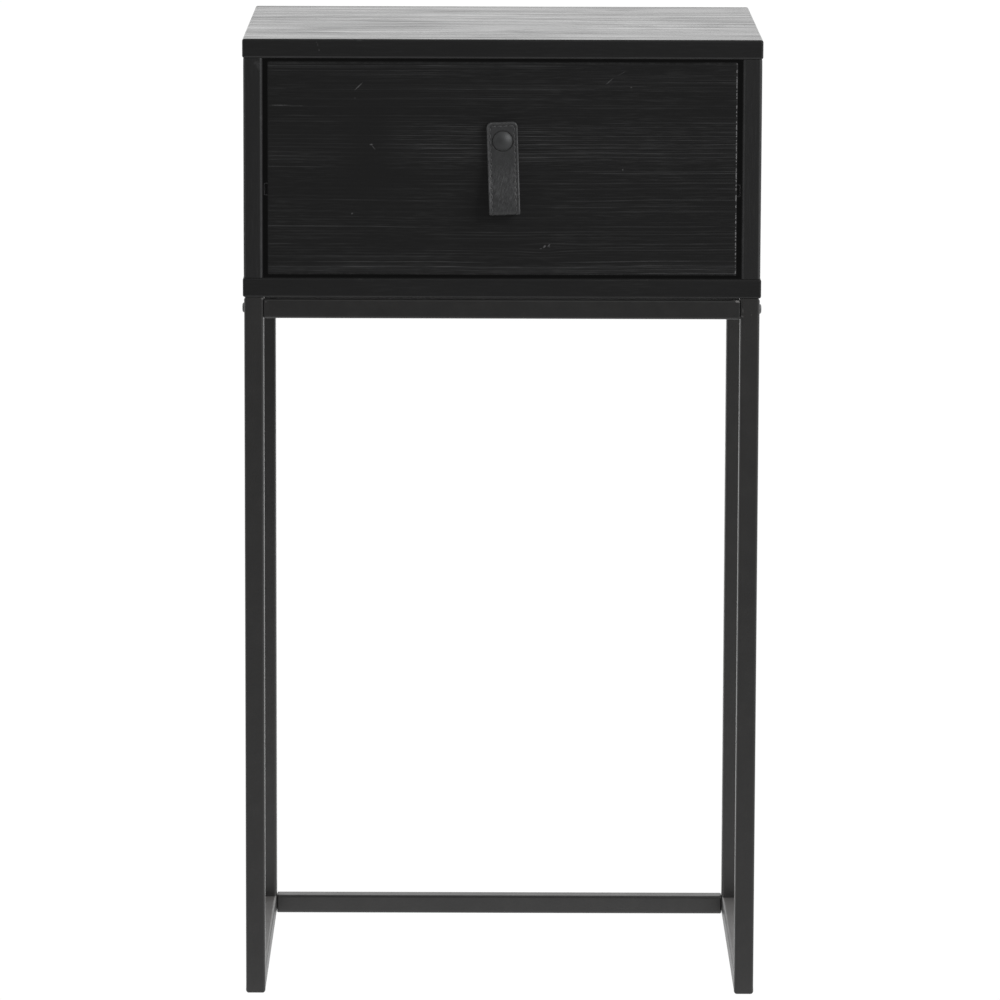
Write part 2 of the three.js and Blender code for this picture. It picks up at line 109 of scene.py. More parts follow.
class Pine:
    """Brushed softwood: hard ridges standing over brushed-out soft wood. s runs along the grain, c across it, in mm."""

    def __init__(self, seed, width, depth=0.3, eyes=(), wave=3.0, dense=(), sharp=1.0, skew=2.4, minor=0.0, calm=(), loose=(0.2, 0.85)):
        rng = np.random.default_rng(seed)
        self.seed, self.depth, self.wave, self.eyes, self.dense, self.calm = seed, depth, wave, eyes, dense, calm
        self.step = 0.05
        self.lo = -40.0
        t = np.arange(self.lo, width + 40.0, self.step)
        ridge = np.zeros_like(t)
        cur = self.lo
        while cur < width + 40:
            packed = any(a <= cur <= b for a, b in dense)
            sparse = lattice(np.array([cur / 19.0]), np.array([0.5]), seed + 5)[0]
            gap = rng.uniform(2.6, 3.9) if packed else (rng.uniform(2.4, 4.4) if sparse < 0.5 else rng.uniform(4.0, 8.5))
            cur += gap
            w = rng.uniform(0.30, 0.48) * sharp
            a = rng.uniform(0.55, 1.0) if packed else rng.uniform(*loose)
            # steep on one side, drawn out on the other, as a growth ring is
            d = t - cur
            ridge = np.maximum(ridge, a * np.exp(-np.where(d > 0, (d / w) ** 2, (d / (w * skew)) ** 2)))
            if minor:
                for _ in range(2):
                    d2 = t - (cur - gap * rng.uniform(0.25, 0.75))
                    a2 = minor * rng.uniform(0.3, 1.0)
                    ridge = np.maximum(ridge, a2 * np.exp(-(d2 / (w * 0.8)) ** 2))
        self.ridge = ridge

    def at(self, s, c):
        """Height in mm (0 at the ridges' tops, below 0 between) and the ridge mask, 0 to 1."""
        k = self.seed
        w = (lattice(s / 170.0, c / 75.0, k + 11) - 0.5) * 2 * self.wave + (lattice(s / 62.0, c / 30.0, k + 12) - 0.5) * 0.9
        for es, ec, el, ew, amount in self.eyes:
            q = np.exp(-((s - es) / el) ** 2) * np.exp(-((c - ec) / ew) ** 2)
            w = w - amount * np.tanh((c - ec) / 4.0) * q
        cc = c + w
        i = np.clip((cc - self.lo) / self.step, 0, len(self.ridge) - 2)
        i0 = i.astype(np.int64)
        r = self.ridge[i0] * (1 - (i - i0)) + self.ridge[i0 + 1] * (i - i0)
        fade = lattice(s / 95.0, cc / 5.0, k + 21) * 0.55 + lattice(s / 34.0, cc / 2.4, k + 22) * 0.30 + lattice(s / 11.0, cc / 1.7, k + 23) * 0.15
        fade = np.clip((fade - 0.29) * 2.3, 0.04, 1.0)
        for a, b in self.dense:
            fade = np.maximum(fade, 0.5 * ((cc > a) & (cc < b)))
        for es, el, ec, ew, amount in self.calm:
            fade = fade * (1 - amount * np.exp(-((s - es) / el) ** 2) * np.exp(-((c - ec) / ew) ** 4))
        r = r * fade
        soft = lattice(s / 120.0, cc / 14.0, k + 31)
        fibre = (lattice(s / 26.0, cc / 0.9, k + 41) - 0.5) * 0.05
        h = -self.depth * (0.55 + 0.45 * soft) * (1 - r) + fibre
        return h, r

    def busy(self, s, c):
        """How thick the fine strokes stand, 0 to 1."""
        q = 0.18 + 0.75 * lattice(s / 60.0, c / 13.0, self.seed + 51) ** 1.6
        for a, b in self.dense:
            q = np.maximum(q, 0.85 * np.clip((c - a) / 4 + 1, 0, 1) * np.clip((b - c) / 4 + 1, 0, 1))
        for es, el, ec, ew, amount in self.calm:
            q = q * (1 - amount * np.exp(-((s - es) / el) ** 2) * np.exp(-((c - ec) / ew) ** 4))
        return q


# ------------------------------------------------------------------ mesh helpers
def make(name, verts, faces, smooth=True):
    me = bpy.data.meshes.new(name)
    me.from_pydata([tuple(v) for v in (np.asarray(verts, float) * MM)], [], faces)
    me.validate()
    me.update()
    ob = bpy.data.objects.new(name, me)
    bpy.context.scene.collection.objects.link(ob)
    me.polygons.foreach_set("use_smooth", [smooth] * len(me.polygons))
    return ob


def loft(name, rings, close=False, caps=True, flat_caps=True):
    """Skins a stack of closed rings, K x N x 3 in mm. Ring order decides the side that faces out, and it is corrected afterwards."""
    rings = np.asarray(rings, float)
    K, N, _ = rings.shape
    faces = []
    idx = np.arange(K * N).reshape(K, N)
    last = K if close else K - 1
    for k in range(last):
        a, b = idx[k], idx[(k + 1) % K]
        a2, b2 = np.roll(a, -1), np.roll(b, -1)
        faces.extend(np.stack([a, a2, b2, b], 1).tolist())
    quads = len(faces)
    if caps and not close:
        faces.append(idx[0][::-1].tolist())
        faces.append(idx[-1].tolist())
    ob = make(name, rings.reshape(-1, 3), faces)
    me = ob.data
    if caps and not close and flat_caps:
        for p in list(me.polygons)[quads:]:
            p.use_smooth = False
    outward(ob)
    return ob


def outward(ob):
    me = ob.data
    bm = bmesh.new()
    bm.from_mesh(me)
    if bm.calc_volume(signed=True) < 0:
        bmesh.ops.reverse_faces(bm, faces=bm.faces)
    bm.to_mesh(me)
    bm.free()
    me.update()


def point_value(ob, name, values):
    at = ob.data.attributes.get(name) or ob.data.attributes.new(name, "FLOAT", "POINT")
    at.data.foreach_set("value", np.asarray(values, np.float32).ravel())


def samples(a, b, step):
    return np.linspace(a, b, max(2, int(round((b - a) / step)) + 1))


def board(name, box, along, face, pine, fine, coarse, col, r=1.8, r_end=None, edge_wear_and_highlight=1.0, both=False, end_rub_and_glint=0.0):
    """A board with rounded arrises whose wide faces carry brushed relief.
    box: x0, x1, y0, y1, z0, z1 (mm). along: the grain's axis. face: the axis of the wide faces' normal, with the sign of the best face.
    fine, coarse: step across the grain on the best face and on the other one; col: step along the grain."""
    lo = np.array([box[0], box[2], box[4]]); hi = np.array([box[1], box[3], box[5]])
    A = "XYZ".index(along)
    F = "XYZ".index(face[1]); fs = 1 if face[0] == "+" else -1
    C = 3 - A - F
    W, T, L = hi[C] - lo[C], hi[F] - lo[F], hi[A] - lo[A]
    r_end = r_end or r
    # ring in (c, t): t 0 at the best face, T at the other
    top = samples(r, W - r, fine)
    bot = np.concatenate([[r], samples(r + 0.3, W - r - 0.3, coarse), [W - r]])[::-1]
    n = 5
    ring, kind, nrm = [], [], []
    for c in top:
        ring.append((c, 0.0)); kind.append(0); nrm.append((0, -1))
    for i in range(1, n + 1):
        a = i / (n + 1) * math.pi / 2
        ring.append((W - r + r * math.sin(a), r - r * math.cos(a))); kind.append(1); nrm.append((math.sin(a), -math.cos(a)))
    for t in (r, r + 0.25, T / 2, T - r - 0.25, T - r):
        ring.append((W, t)); kind.append(2); nrm.append((1, 0))
    for i in range(1, n + 1):
        a = i / (n + 1) * math.pi / 2
        ring.append((W - r + r * math.cos(a), T - r + r * math.sin(a))); kind.append(3); nrm.append((math.cos(a), math.sin(a)))
    for c in bot:
        ring.append((c, T)); kind.append(4); nrm.append((0, 1))
    for i in range(1, n + 1):
        a = i / (n + 1) * math.pi / 2
        ring.append((r - r * math.sin(a), T - r + r * math.cos(a))); kind.append(3); nrm.append((-math.sin(a), math.cos(a)))
    for t in (T - r, T - r - 0.25, T / 2, r + 0.25, r):
        ring.append((0, t)); kind.append(2); nrm.append((-1, 0))
    for i in range(1, n + 1):
        a = i / (n + 1) * math.pi / 2
        ring.append((r - r * math.cos(a), r - r * math.sin(a))); kind.append(1); nrm.append((-math.cos(a), -math.sin(a)))
    ring, kind, nrm = np.array(ring), np.array(kind), np.array(nrm)
    # stations along the grain, with the rounded ends
    ends = [(r_end - r_end * math.cos(a), r_end - r_end * math.sin(a)) for a in np.linspace(0, math.pi / 2, 6)]
    extra = [r_end + 0.3, r_end + 0.8, r_end + 1.5] if end_rub_and_glint else [r_end + 0.3]
    flat = extra + list(samples(extra[-1] + 1.0, L - extra[-1] - 1.0, col)) + [L - e for e in extra[::-1]]
    st = [(d, ins) for d, ins in ends] + [(s, 0.0) for s in flat] + [(L - d, ins) for d, ins in ends[::-1]]
    st = np.array(st)
    K, N = len(st), len(ring)
    s = st[:, 0][:, None] * np.ones(N)
    ins = st[:, 1][:, None] * np.ones(N)
    cpos = ring[:, 0][None, :] - nrm[:, 0][None, :] * ins
    tpos = ring[:, 1][None, :] - nrm[:, 1][None, :] * ins
    h, m = pine.at(s, ring[:, 0][None, :] * np.ones((K, 1)))
    onface = np.where(kind == 0, 1.0, np.where(kind == 1, 0.75, 0.0))[None, :] * np.ones((K, 1))
    if both:
        h2, m2 = pine.at(s + 500, W - ring[:, 0][None, :] * np.ones((K, 1)))
        back = np.where(kind == 4, 1.0, 0.0)[None, :]
        h = h * onface + h2 * back * 0.7
        m = m * onface + m2 * back
    else:
        h, m = h * onface, m * onface
    # the relief runs out over the end arris, where the brush takes a little more
    nearend = np.clip(1 - np.minimum(s, L - s) / 3.0, 0, 1)
    h = h * (1 + 0.7 * nearend * (onface > 0))
    cpos = cpos + nrm[:, 0][None, :] * h
    tpos = tpos + nrm[:, 1][None, :] * h
    P = np.zeros((K, N, 3))
    P[:, :, A] = lo[A] + s
    P[:, :, C] = lo[C] + cpos
    P[:, :, F] = (hi[F] - tpos) if fs > 0 else (lo[F] + tpos)
    ob = loft(name, P)
    edge = np.where((kind == 1) | (kind == 3), 1.0, 0.0)[None, :] * np.ones((K, 1))
    edge = np.maximum(edge, np.clip(ins / r_end * 1.6, 0, 1) * np.clip((r_end - ins) / r_end * 4, 0, 1))
    point_value(ob, "ridge", m)
    point_value(ob, "arris", edge * edge_wear_and_highlight)
    wide = np.where((kind == 0) | (kind == 4), 1.0, 0.0)[None, :] * np.ones((K, 1))
    point_value(ob, "wide", wide)
    # painted highlight: a thin pale line on each long arris, on the side of the narrow face
    thin = np.where((kind == 1) | (kind == 3), np.exp(-((np.abs(nrm[:, 1]) - 0.5) / 0.24) ** 2), 0.0)
    point_value(ob, "line", thin[None, :] * np.ones((K, 1)))
    point_value(ob, "busy", pine.busy(s, ring[:, 0][None, :] * np.ones((K, 1))) * np.where(kind == 4, 0.4, 1.0)[None, :])
    if end_rub_and_glint:
        # the far end's arris, rubbed where the ridges run out over it and painted with dotted glints
        q = np.exp(-((L - s - 0.85) / 0.42) ** 2) * np.where(kind <= 1, 1.0, 0.0)[None, :]
        point_value(ob, "end_rub_glint", q * end_rub_and_glint)
    return ob


# ------------------------------------------------------------------ node material helpers
class Nodes:
    def __init__(self, name):
        self.mat = bpy.data.materials.new(name)
        self.mat.use_nodes = True
        self.t = self.mat.node_tree
        self.t.nodes.clear()
        self.out = self.n("ShaderNodeOutputMaterial")
        self.p = self.n("ShaderNodeBsdfPrincipled")
        self.t.links.new(self.p.outputs[0], self.out.inputs["Surface"])

    def n(self, kind, **props):
        x = self.t.nodes.new(kind)
        for k, v in props.items():
            setattr(x, k, v)
        return x

    def put(self, socket, v):
        if isinstance(v, bpy.types.NodeSocket):
            self.t.links.new(v, socket)
        else:
            socket.default_value = v

    def coord(self, scale=(1, 1, 1), loc=(0, 0, 0), rot=(0, 0, 0), kind="Object"):
        tc = self.n("ShaderNodeTexCoord")
        m = self.n("ShaderNodeMapping")
        m.inputs["Scale"].default_value = scale
        m.inputs["Location"].default_value = loc
        m.inputs["Rotation"].default_value = rot
        self.t.links.new(tc.outputs[kind], m.inputs["Vector"])
        return m.outputs[0]

    def noise(self, vec, scale, detail=4.0, rough=0.55, dist=0.0):
        x = self.n("ShaderNodeTexNoise")
        self.put(x.inputs["Vector"], vec)
        x.inputs["Scale"].default_value = scale
        x.inputs["Detail"].default_value = detail
        x.inputs["Roughness"].default_value = rough
        x.inputs["Distortion"].default_value = dist
        return x.outputs[0]

    def voronoi(self, vec, scale, feature="F1", out="Distance", rand=1.0):
        x = self.n("ShaderNodeTexVoronoi", feature=feature)
        self.put(x.inputs["Vector"], vec)
        x.inputs["Scale"].default_value = scale
        x.inputs["Randomness"].default_value = rand
        return x.outputs[out]

    def ramp(self, fac, stops, interp="LINEAR"):
        x = self.n("ShaderNodeValToRGB")
        x.color_ramp.interpolation = interp
        e = x.color_ramp.elements
        while len(e) > 1:
            e.remove(e[0])
        e[0].position, e[0].color = stops[0][0], self.rgba(stops[0][1])
        for p, c in stops[1:]:
            k = e.new(p)
            k.color = self.rgba(c)
        self.put(x.inputs[0], fac)
        return x.outputs[0]

    @staticmethod
    def rgba(c):
        if isinstance(c, (int, float)):
            return (c, c, c, 1)
        return (*c, 1) if len(c) == 3 else c

    def math(self, op, a, b=None, clamp=False):
        x = self.n("ShaderNodeMath", operation=op, use_clamp=clamp)
        self.put(x.inputs[0], a)
        if b is not None:
            self.put(x.inputs[1], b)
        return x.outputs[0]

    def mix(self, fac, a, b, kind="RGBA", blend="MIX"):
        x = self.n("ShaderNodeMix", data_type=kind)
        if kind == "RGBA":
            x.blend_type = blend
            f, i, j, o = x.inputs[0], x.inputs[6], x.inputs[7], x.outputs[2]
            a = self.rgba(a) if not isinstance(a, bpy.types.NodeSocket) else a
            b = self.rgba(b) if not isinstance(b, bpy.types.NodeSocket) else b
        else:
            f, i, j, o = x.inputs[0], x.inputs[2], x.inputs[3], x.outputs[0]
        self.put(f, fac); self.put(i, a); self.put(j, b)
        return o

    def attr(self, name):
        x = self.n("ShaderNodeAttribute", attribute_name=name)
        return x.outputs["Fac"]

    def mark(self, x, z, half_len, half_wid, degrees, amount):
        """A small scratch or nick in the XZ plane, in mm: 1 at its middle, 0 outside."""
        tc = self.n("ShaderNodeTexCoord")
        q = self.n("ShaderNodeMapping", vector_type="TEXTURE")
        q.inputs["Location"].default_value = (x * MM, 0, z * MM)
        q.inputs["Rotation"].default_value = (0, -math.radians(degrees), 0)
        q.inputs["Scale"].default_value = (half_len * MM, 1000, half_wid * MM)
        self.t.links.new(tc.outputs["Object"], q.inputs["Vector"])
        d = self.n("ShaderNodeVectorMath", operation="LENGTH")
        self.t.links.new(q.outputs[0], d.inputs[0])
        return self.ramp(d.outputs["Value"], [(0.0, amount), (0.45, amount), (1.0, 0.0)])

    def marks(self, rows):
        total = None
        for row in rows:
            k = self.mark(*row)
            total = k if total is None else self.math("MAXIMUM", total, k)
        crumble = self.ramp(self.noise(self.coord(), 900, 3, 0.65), [(0.36, 0.25), (0.56, 1.0)])
        return self.math("MULTIPLY", total, crumble)

    def bump(self, height, strength, distance, normal=None):
        x = self.n("ShaderNodeBump")
        x.inputs["Strength"].default_value = strength
        x.inputs["Distance"].default_value = distance
        self.put(x.inputs["Height"], height)
        if normal is not None:
            self.put(x.inputs["Normal"], normal)
        return x.outputs[0]

    def finish(self, color=None, rough=None, metal=0.0, normal=None, spec=None, ior=None, **consts):
        if color is not None:
            self.put(self.p.inputs["Base Color"], self.rgba(color) if not isinstance(color, bpy.types.NodeSocket) else color)
        if rough is not None:
            self.put(self.p.inputs["Roughness"], rough)
        self.p.inputs["Metallic"].default_value = metal
        if spec is not None:
            self.p.inputs["Specular IOR Level"].default_value = spec
        if ior is not None:
            self.p.inputs["IOR"].default_value = ior
        if normal is not None:
            self.put(self.p.inputs["Normal"], normal)
        for k, v in consts.items():
            self.p.inputs[k.replace("_", " ")].default_value = v
        return self.mat


def pine_material(name, along, seed, dark=0.0085, light=0.05, rough=0.46, spec=0.3, bump=1.0, strokes=0.2, face_rough=None,
                  wear_and_highlight_from=0.56, marks=(), only_face=False, rear_band=None, low_arris_highlight=None, rim_highlight=0.0):
    """Black brushed softwood. Texture stretched along the grain; ridge, busy, wide, arris and the end arris's
    rub-and-glint mask come from the mesh.
    """
    m = Nodes(name)
    stretch = {"X": (0.045, 1, 1), "Y": (1, 0.045, 1), "Z": (1, 1, 0.045)}[along]
    vec = m.coord(scale=stretch, loc=(seed * 0.37, seed * 0.61, seed * 0.13))
    fibre = m.noise(vec, 900, 3, 0.6)
    fibre_fine = m.noise(vec, 2600, 2, 0.6)
    drift = m.noise(vec, 90, 4, 0.55)
    cloud = m.noise(m.coord(), 11, 3, 0.5)
    ridge, arris, busy, wide = m.attr("ridge"), m.attr("arris"), m.attr("busy"), m.attr("wide")
    # painted highlight and wear: fine pale strokes along the grain
    streak = m.ramp(m.noise(vec, 1250, 2, 0.55), [(0.50, 0.0), (0.68, 1.0)])
    lit = m.math("MULTIPLY", ridge, m.ramp(drift, [(0.3, 0.45), (0.7, 1.0)]))
    # the ridges and fine strokes are painted paler, partly as rubbed-bare wear and partly as painted highlight where
    # they catch the light; a ridge is rubbed bare in places and still coated in others
    lit = m.math("MULTIPLY", lit, m.ramp(fibre, [(0.30, 0.45), (0.62, 1.15)]))
    lit = m.math("ADD", lit, m.math("MULTIPLY", m.math("MULTIPLY", streak, busy), strokes), clamp=True)
    base = m.mix(cloud, (dark * 0.86,) * 3, (dark * 1.16, dark * 1.16, dark * 1.2))
    col = m.mix(lit, base, (light, light * 1.01, light * 1.03))
    # thin coat worn on the arrises, in broken patches; the paler arris also serves as painted highlight, as on the
    # drawer front's lower edge
    wear_and_highlight = m.ramp(m.noise(m.coord(), 160, 5, 0.65), [(wear_and_highlight_from, 0.0), (wear_and_highlight_from + 0.16, 1.0)])
    wear_and_highlight = m.math("MULTIPLY", wear_and_highlight, m.math("MULTIPLY", arris, 0.5))
    col = m.mix(wear_and_highlight, col, (0.055, 0.055, 0.056))
    # painted highlight: a thin pale line down the long arrises
    if rim_highlight:
        col = m.mix(m.math("MULTIPLY", m.attr("line"), m.ramp(m.noise(m.coord(), 70, 3, 0.5), [(0.3, rim_highlight * 0.7), (0.7, rim_highlight)])), col, (0.078, 0.079, 0.081))
    if low_arris_highlight:
        # painted highlight: the lower arris is painted evenly paler from end to end, standing in for the reflection of
        # the floor
        sep_ = m.n("ShaderNodeSeparateXYZ")
        m.put(sep_.inputs[0], m.coord())
        under = m.ramp(m.math("MULTIPLY_ADD", sep_.outputs[2], -100.0), [(0.0, 0.0), (0.1, 1.0)])
        under.node.inputs[0].links[0].from_node.inputs[2].default_value = low_arris_highlight * 100.0
        soft = m.ramp(m.noise(m.coord(), 60, 3, 0.5), [(0.3, 0.55), (0.7, 0.8)])
        col = m.mix(m.math("MULTIPLY", m.math("MULTIPLY", arris, under), soft), col, (0.041, 0.041, 0.0415))
    # the far end's arris: rubbed pale and painted with dotted glints
    dots = m.ramp(m.noise(m.coord(scale=(0.05, 0.05, 1)), 900, 0, 0.5), [(0.46, 0.05), (0.54, 1.0)])
    col = m.mix(m.math("MULTIPLY", m.ramp(m.attr("end_rub_glint"), [(0.30, 0.0), (0.80, 1.0)]), dots), col, (0.165, 0.165, 0.167))
    # small dents and specks
    speck = m.ramp(m.voronoi(m.coord(), 210), [(0.0, 1.0), (0.045, 0.0)])
    pick = m.ramp(m.noise(m.coord(loc=(3, 1, 2)), 26, 2, 0.5), [(0.6, 0.0), (0.68, 1.0)])
    speck = m.math("MULTIPLY", speck, pick)
    col = m.mix(m.math("MULTIPLY", speck, 0.6), col, (0.07, 0.07, 0.07))
    hit = speck
    if marks:
        scar = m.marks(marks)
        if only_face:
            scar = m.math("MULTIPLY", scar, wide)
        col = m.mix(scar, col, (0.10, 0.10, 0.102))
        hit = m.math("MAXIMUM", speck, scar)
    rgh = m.mix(drift, rough - 0.05, rough + 0.1, kind="FLOAT")
    rgh = m.mix(m.math("MULTIPLY", ridge, 0.6), rgh, rough - 0.08, kind="FLOAT")
    if face_rough:
        lo, hi = face_rough
        q = m.mix(m.ramp(m.noise(vec, 120, 4, 0.6, 0.3), [(0.33, 0.0), (0.67, 1.0)]), lo, hi, kind="FLOAT")
        q = m.math("ADD", q, m.math("MULTIPLY", m.ramp(fibre, [(0.42, 0.0), (0.70, 1.0)]), 0.05))
        q = m.math("ADD", q, m.math("MULTIPLY", m.ramp(m.noise(m.coord(scale=(0.35, 1, 1)), 38, 4, 0.6, 0.4), [(0.52, 0.0), (0.68, 1.0)]), 0.06))
        if rear_band:
            sep_ = m.n("ShaderNodeSeparateXYZ")
            m.put(sep_.inputs[0], m.coord())
            band = m.ramp(m.math("SUBTRACT", m.math("MULTIPLY", sep_.outputs[1], 10.0), rear_band * 10.0), [(0.0, 0.0), (0.03, 1.0)])
            q = m.mix(band, q, 0.42, kind="FLOAT")
        rgh = m.mix(wide, rgh, q, kind="FLOAT")
    b1 = m.bump(fibre, 0.35 * bump, 0.00022)
    b2 = m.bump(fibre_fine, 0.25 * bump, 0.00008, b1)
    b3 = m.bump(hit, 0.5, 0.0002, b2)
    return m.finish(col, rgh, 0.0, b3, spec=spec)


def coat_material(name, base=0.0128, rough=0.42, marks=(), sill=None):
    """Powder coat: even near-black with a fine orange peel."""
    m = Nodes(name)
    v = m.coord()
    peel = m.noise(v, 620, 3, 0.5)
    fine = m.noise(v, 2300, 2, 0.5)
    cloud = m.noise(v, 14, 3, 0.5)
    dust = m.ramp(m.voronoi(v, 340), [(0.0, 1.0), (0.03, 0.0)])
    pick = m.ramp(m.noise(m.coord(loc=(1, 5, 3)), 30, 2, 0.5), [(0.62, 0.0), (0.7, 1.0)])
    dust = m.math("MULTIPLY", dust, pick)
    col = m.mix(cloud, (base * 0.93, base * 0.9, base * 0.88), (base * 1.12, base * 1.08, base * 1.05))
    chalk = m.ramp(m.noise(v, 60, 5, 0.7), [(0.45, 0.0), (0.75, 1.0)])
    col = m.mix(m.math("MULTIPLY", chalk, 0.12), col, (0.05, 0.048, 0.046))
    col = m.mix(m.math("MULTIPLY", dust, 0.35), col, (0.05, 0.048, 0.046))
    if marks:
        # bright marks at the rail ends: grind marks on bare metal, painted bright to stand in for glints
        col = m.mix(m.marks(marks), col, (0.24, 0.235, 0.23))
    rgh = m.mix(m.noise(v, 45, 4, 0.6), rough - 0.04, rough + 0.06, kind="FLOAT")
    if sill:
        # painted light: the top of the low rail is painted paler, standing in for light reflected from above; sill is
        # (lowest z, highest z, half length) in metres
        at = m.n("ShaderNodeSeparateXYZ")
        m.put(at.inputs[0], v)
        on = m.math("MULTIPLY", m.math("GREATER_THAN", at.outputs[2], sill[0]), m.math("LESS_THAN", at.outputs[2], sill[1]))
        on = m.math("MULTIPLY", on, m.math("LESS_THAN", m.math("ABSOLUTE", at.outputs[1]), sill[2]))
        painted_sill_light = m.ramp(m.noise(v, 70, 4, 0.6), [(0.3, 0.75), (0.7, 1.0)])
        col = m.mix(m.math("MULTIPLY", on, painted_sill_light), col, (0.082, 0.079, 0.077))
    n1 = m.bump(peel, 0.28, 0.0003)
    n2 = m.bump(fine, 0.12, 0.0001, n1)
    return m.finish(col, rgh, 0.0, n2, spec=0.5)


def fastener_material(name, col=(0.055, 0.055, 0.057), rough=0.40, metal=0.85):
    m = Nodes(name)
    v = m.coord()
    scratch = m.noise(m.coord(scale=(1, 8, 1), rot=(0.4, 0.7, 0.2)), 900, 3, 0.6)
    c = m.mix(m.noise(v, 300, 3, 0.5), tuple(x * 0.8 for x in col), tuple(x * 1.3 for x in col))
    rgh = m.mix(scratch, rough - 0.08, rough + 0.14, kind="FLOAT")
    return m.finish(c, rgh, metal, m.bump(scratch, 0.12, 0.00005), spec=0.5)


def zinc_material(name):
    m = Nodes(name)
    v = m.coord()
    cells = m.voronoi(v, 95, out="Color")
    g = m.n("ShaderNodeSeparateColor")
    m.put(g.inputs[0], cells)
    tone = m.mix(g.outputs[0], (0.42, 0.43, 0.44), (0.56, 0.57, 0.58))
    draw = m.noise(m.coord(scale=(1, 0.03, 1)), 1500, 2, 0.5)
    tone = m.mix(m.math("MULTIPLY", draw, 0.35), tone, (0.3, 0.31, 0.32))
    return m.finish(tone, m.mix(draw, 0.28, 0.46, kind="FLOAT"), 0.95, m.bump(draw, 0.1, 0.00005))


def slide_material(name):
    """Black zinc plate, drawn along Y, rubbed brighter in streaks."""
    m = Nodes(name)
    draw = m.noise(m.coord(scale=(1, 0.02, 1)), 1700, 3, 0.6)
    cloud = m.noise(m.coord(), 130, 3, 0.5)
    c = m.mix(cloud, (0.05, 0.05, 0.052), (0.085, 0.085, 0.088))
    c = m.mix(m.ramp(draw, [(0.55, 0.0), (0.75, 0.6)]), c, (0.22, 0.22, 0.22))
    # the sawn front end is bare, and painted brighter to stand in for glints in the gap
    sep_ = m.n("ShaderNodeSeparateXYZ")
    m.put(sep_.inputs[0], m.coord())
    cut = m.ramp(m.math("MULTIPLY_ADD", sep_.outputs[1], -100.0), [(0.0, 0.0), (0.03, 1.0)])
    cut.node.inputs[0].links[0].from_node.inputs[2].default_value = -11.75
    c = m.mix(cut, c, (0.30, 0.30, 0.31))
    return m.finish(c, m.mix(draw, 0.3, 0.46, kind="FLOAT"), 0.9, m.bump(draw, 0.12, 0.00005))


def cage_material(name):
    m = Nodes(name)
    v = m.coord()
    c = m.mix(m.noise(v, 220, 3, 0.5), (0.012, 0.012, 0.0125), (0.022, 0.022, 0.023))
    return m.finish(c, m.mix(m.noise(v, 900, 2, 0.5), 0.34, 0.46, kind="FLOAT"), 0.0, m.bump(m.noise(v, 1500, 2, 0.5), 0.08, 0.00006))


def stained_material(name, along, seed=0.0):
    """Thin black stain over plain wood, grain showing faintly."""
    m = Nodes(name)
    stretch = {"X": (0.05, 1, 1), "Y": (1, 0.05, 1), "Z": (1, 1, 0.05)}[along]
    vec = m.coord(scale=stretch, loc=(seed, seed * 2.1, seed * 0.7))
    rings = m.noise(vec, 130, 4, 0.6, 0.4)
    fibre = m.noise(vec, 1100, 3, 0.6)
    c = m.mix(m.ramp(rings, [(0.35, 0.0), (0.65, 1.0)]), (0.014, 0.0125, 0.0115), (0.026, 0.0235, 0.0215))
    c = m.mix(m.ramp(fibre, [(0.5, 0.0), (0.8, 0.6)]), c, (0.009, 0.008, 0.0075))
    return m.finish(c, m.mix(fibre, 0.5, 0.66, kind="FLOAT"), 0.0, m.bump(fibre, 0.3, 0.0002), spec=0.4)


def hardboard_material(name):
    m = Nodes(name)
    v = m.coord()
    flakes = m.noise(v, 420, 5, 0.7)
    fibre = m.voronoi(m.coord(scale=(1, 1, 1.6)), 520)
    c = m.mix(flakes, (0.012, 0.0115, 0.011), (0.024, 0.0225, 0.021))
    h = m.math("ADD", m.math("MULTIPLY", flakes, 0.7), m.math("MULTIPLY", fibre, 0.3))
    return m.finish(c, m.mix(flakes, 0.52, 0.7, kind="FLOAT"), 0.0, m.bump(h, 0.25, 0.0002), spec=0.35)


def dowel_material(name):
    m = Nodes(name)
    vec = m.coord(scale=(1, 1, 0.06))
    g = m.noise(vec, 900, 3, 0.6)
    c = m.mix(g, (0.42, 0.29, 0.17), (0.58, 0.43, 0.27))
    return m.finish(c, m.mix(g, 0.55, 0.7, kind="FLOAT"), 0.0, m.bump(g, 0.2, 0.0001), spec=0.4)


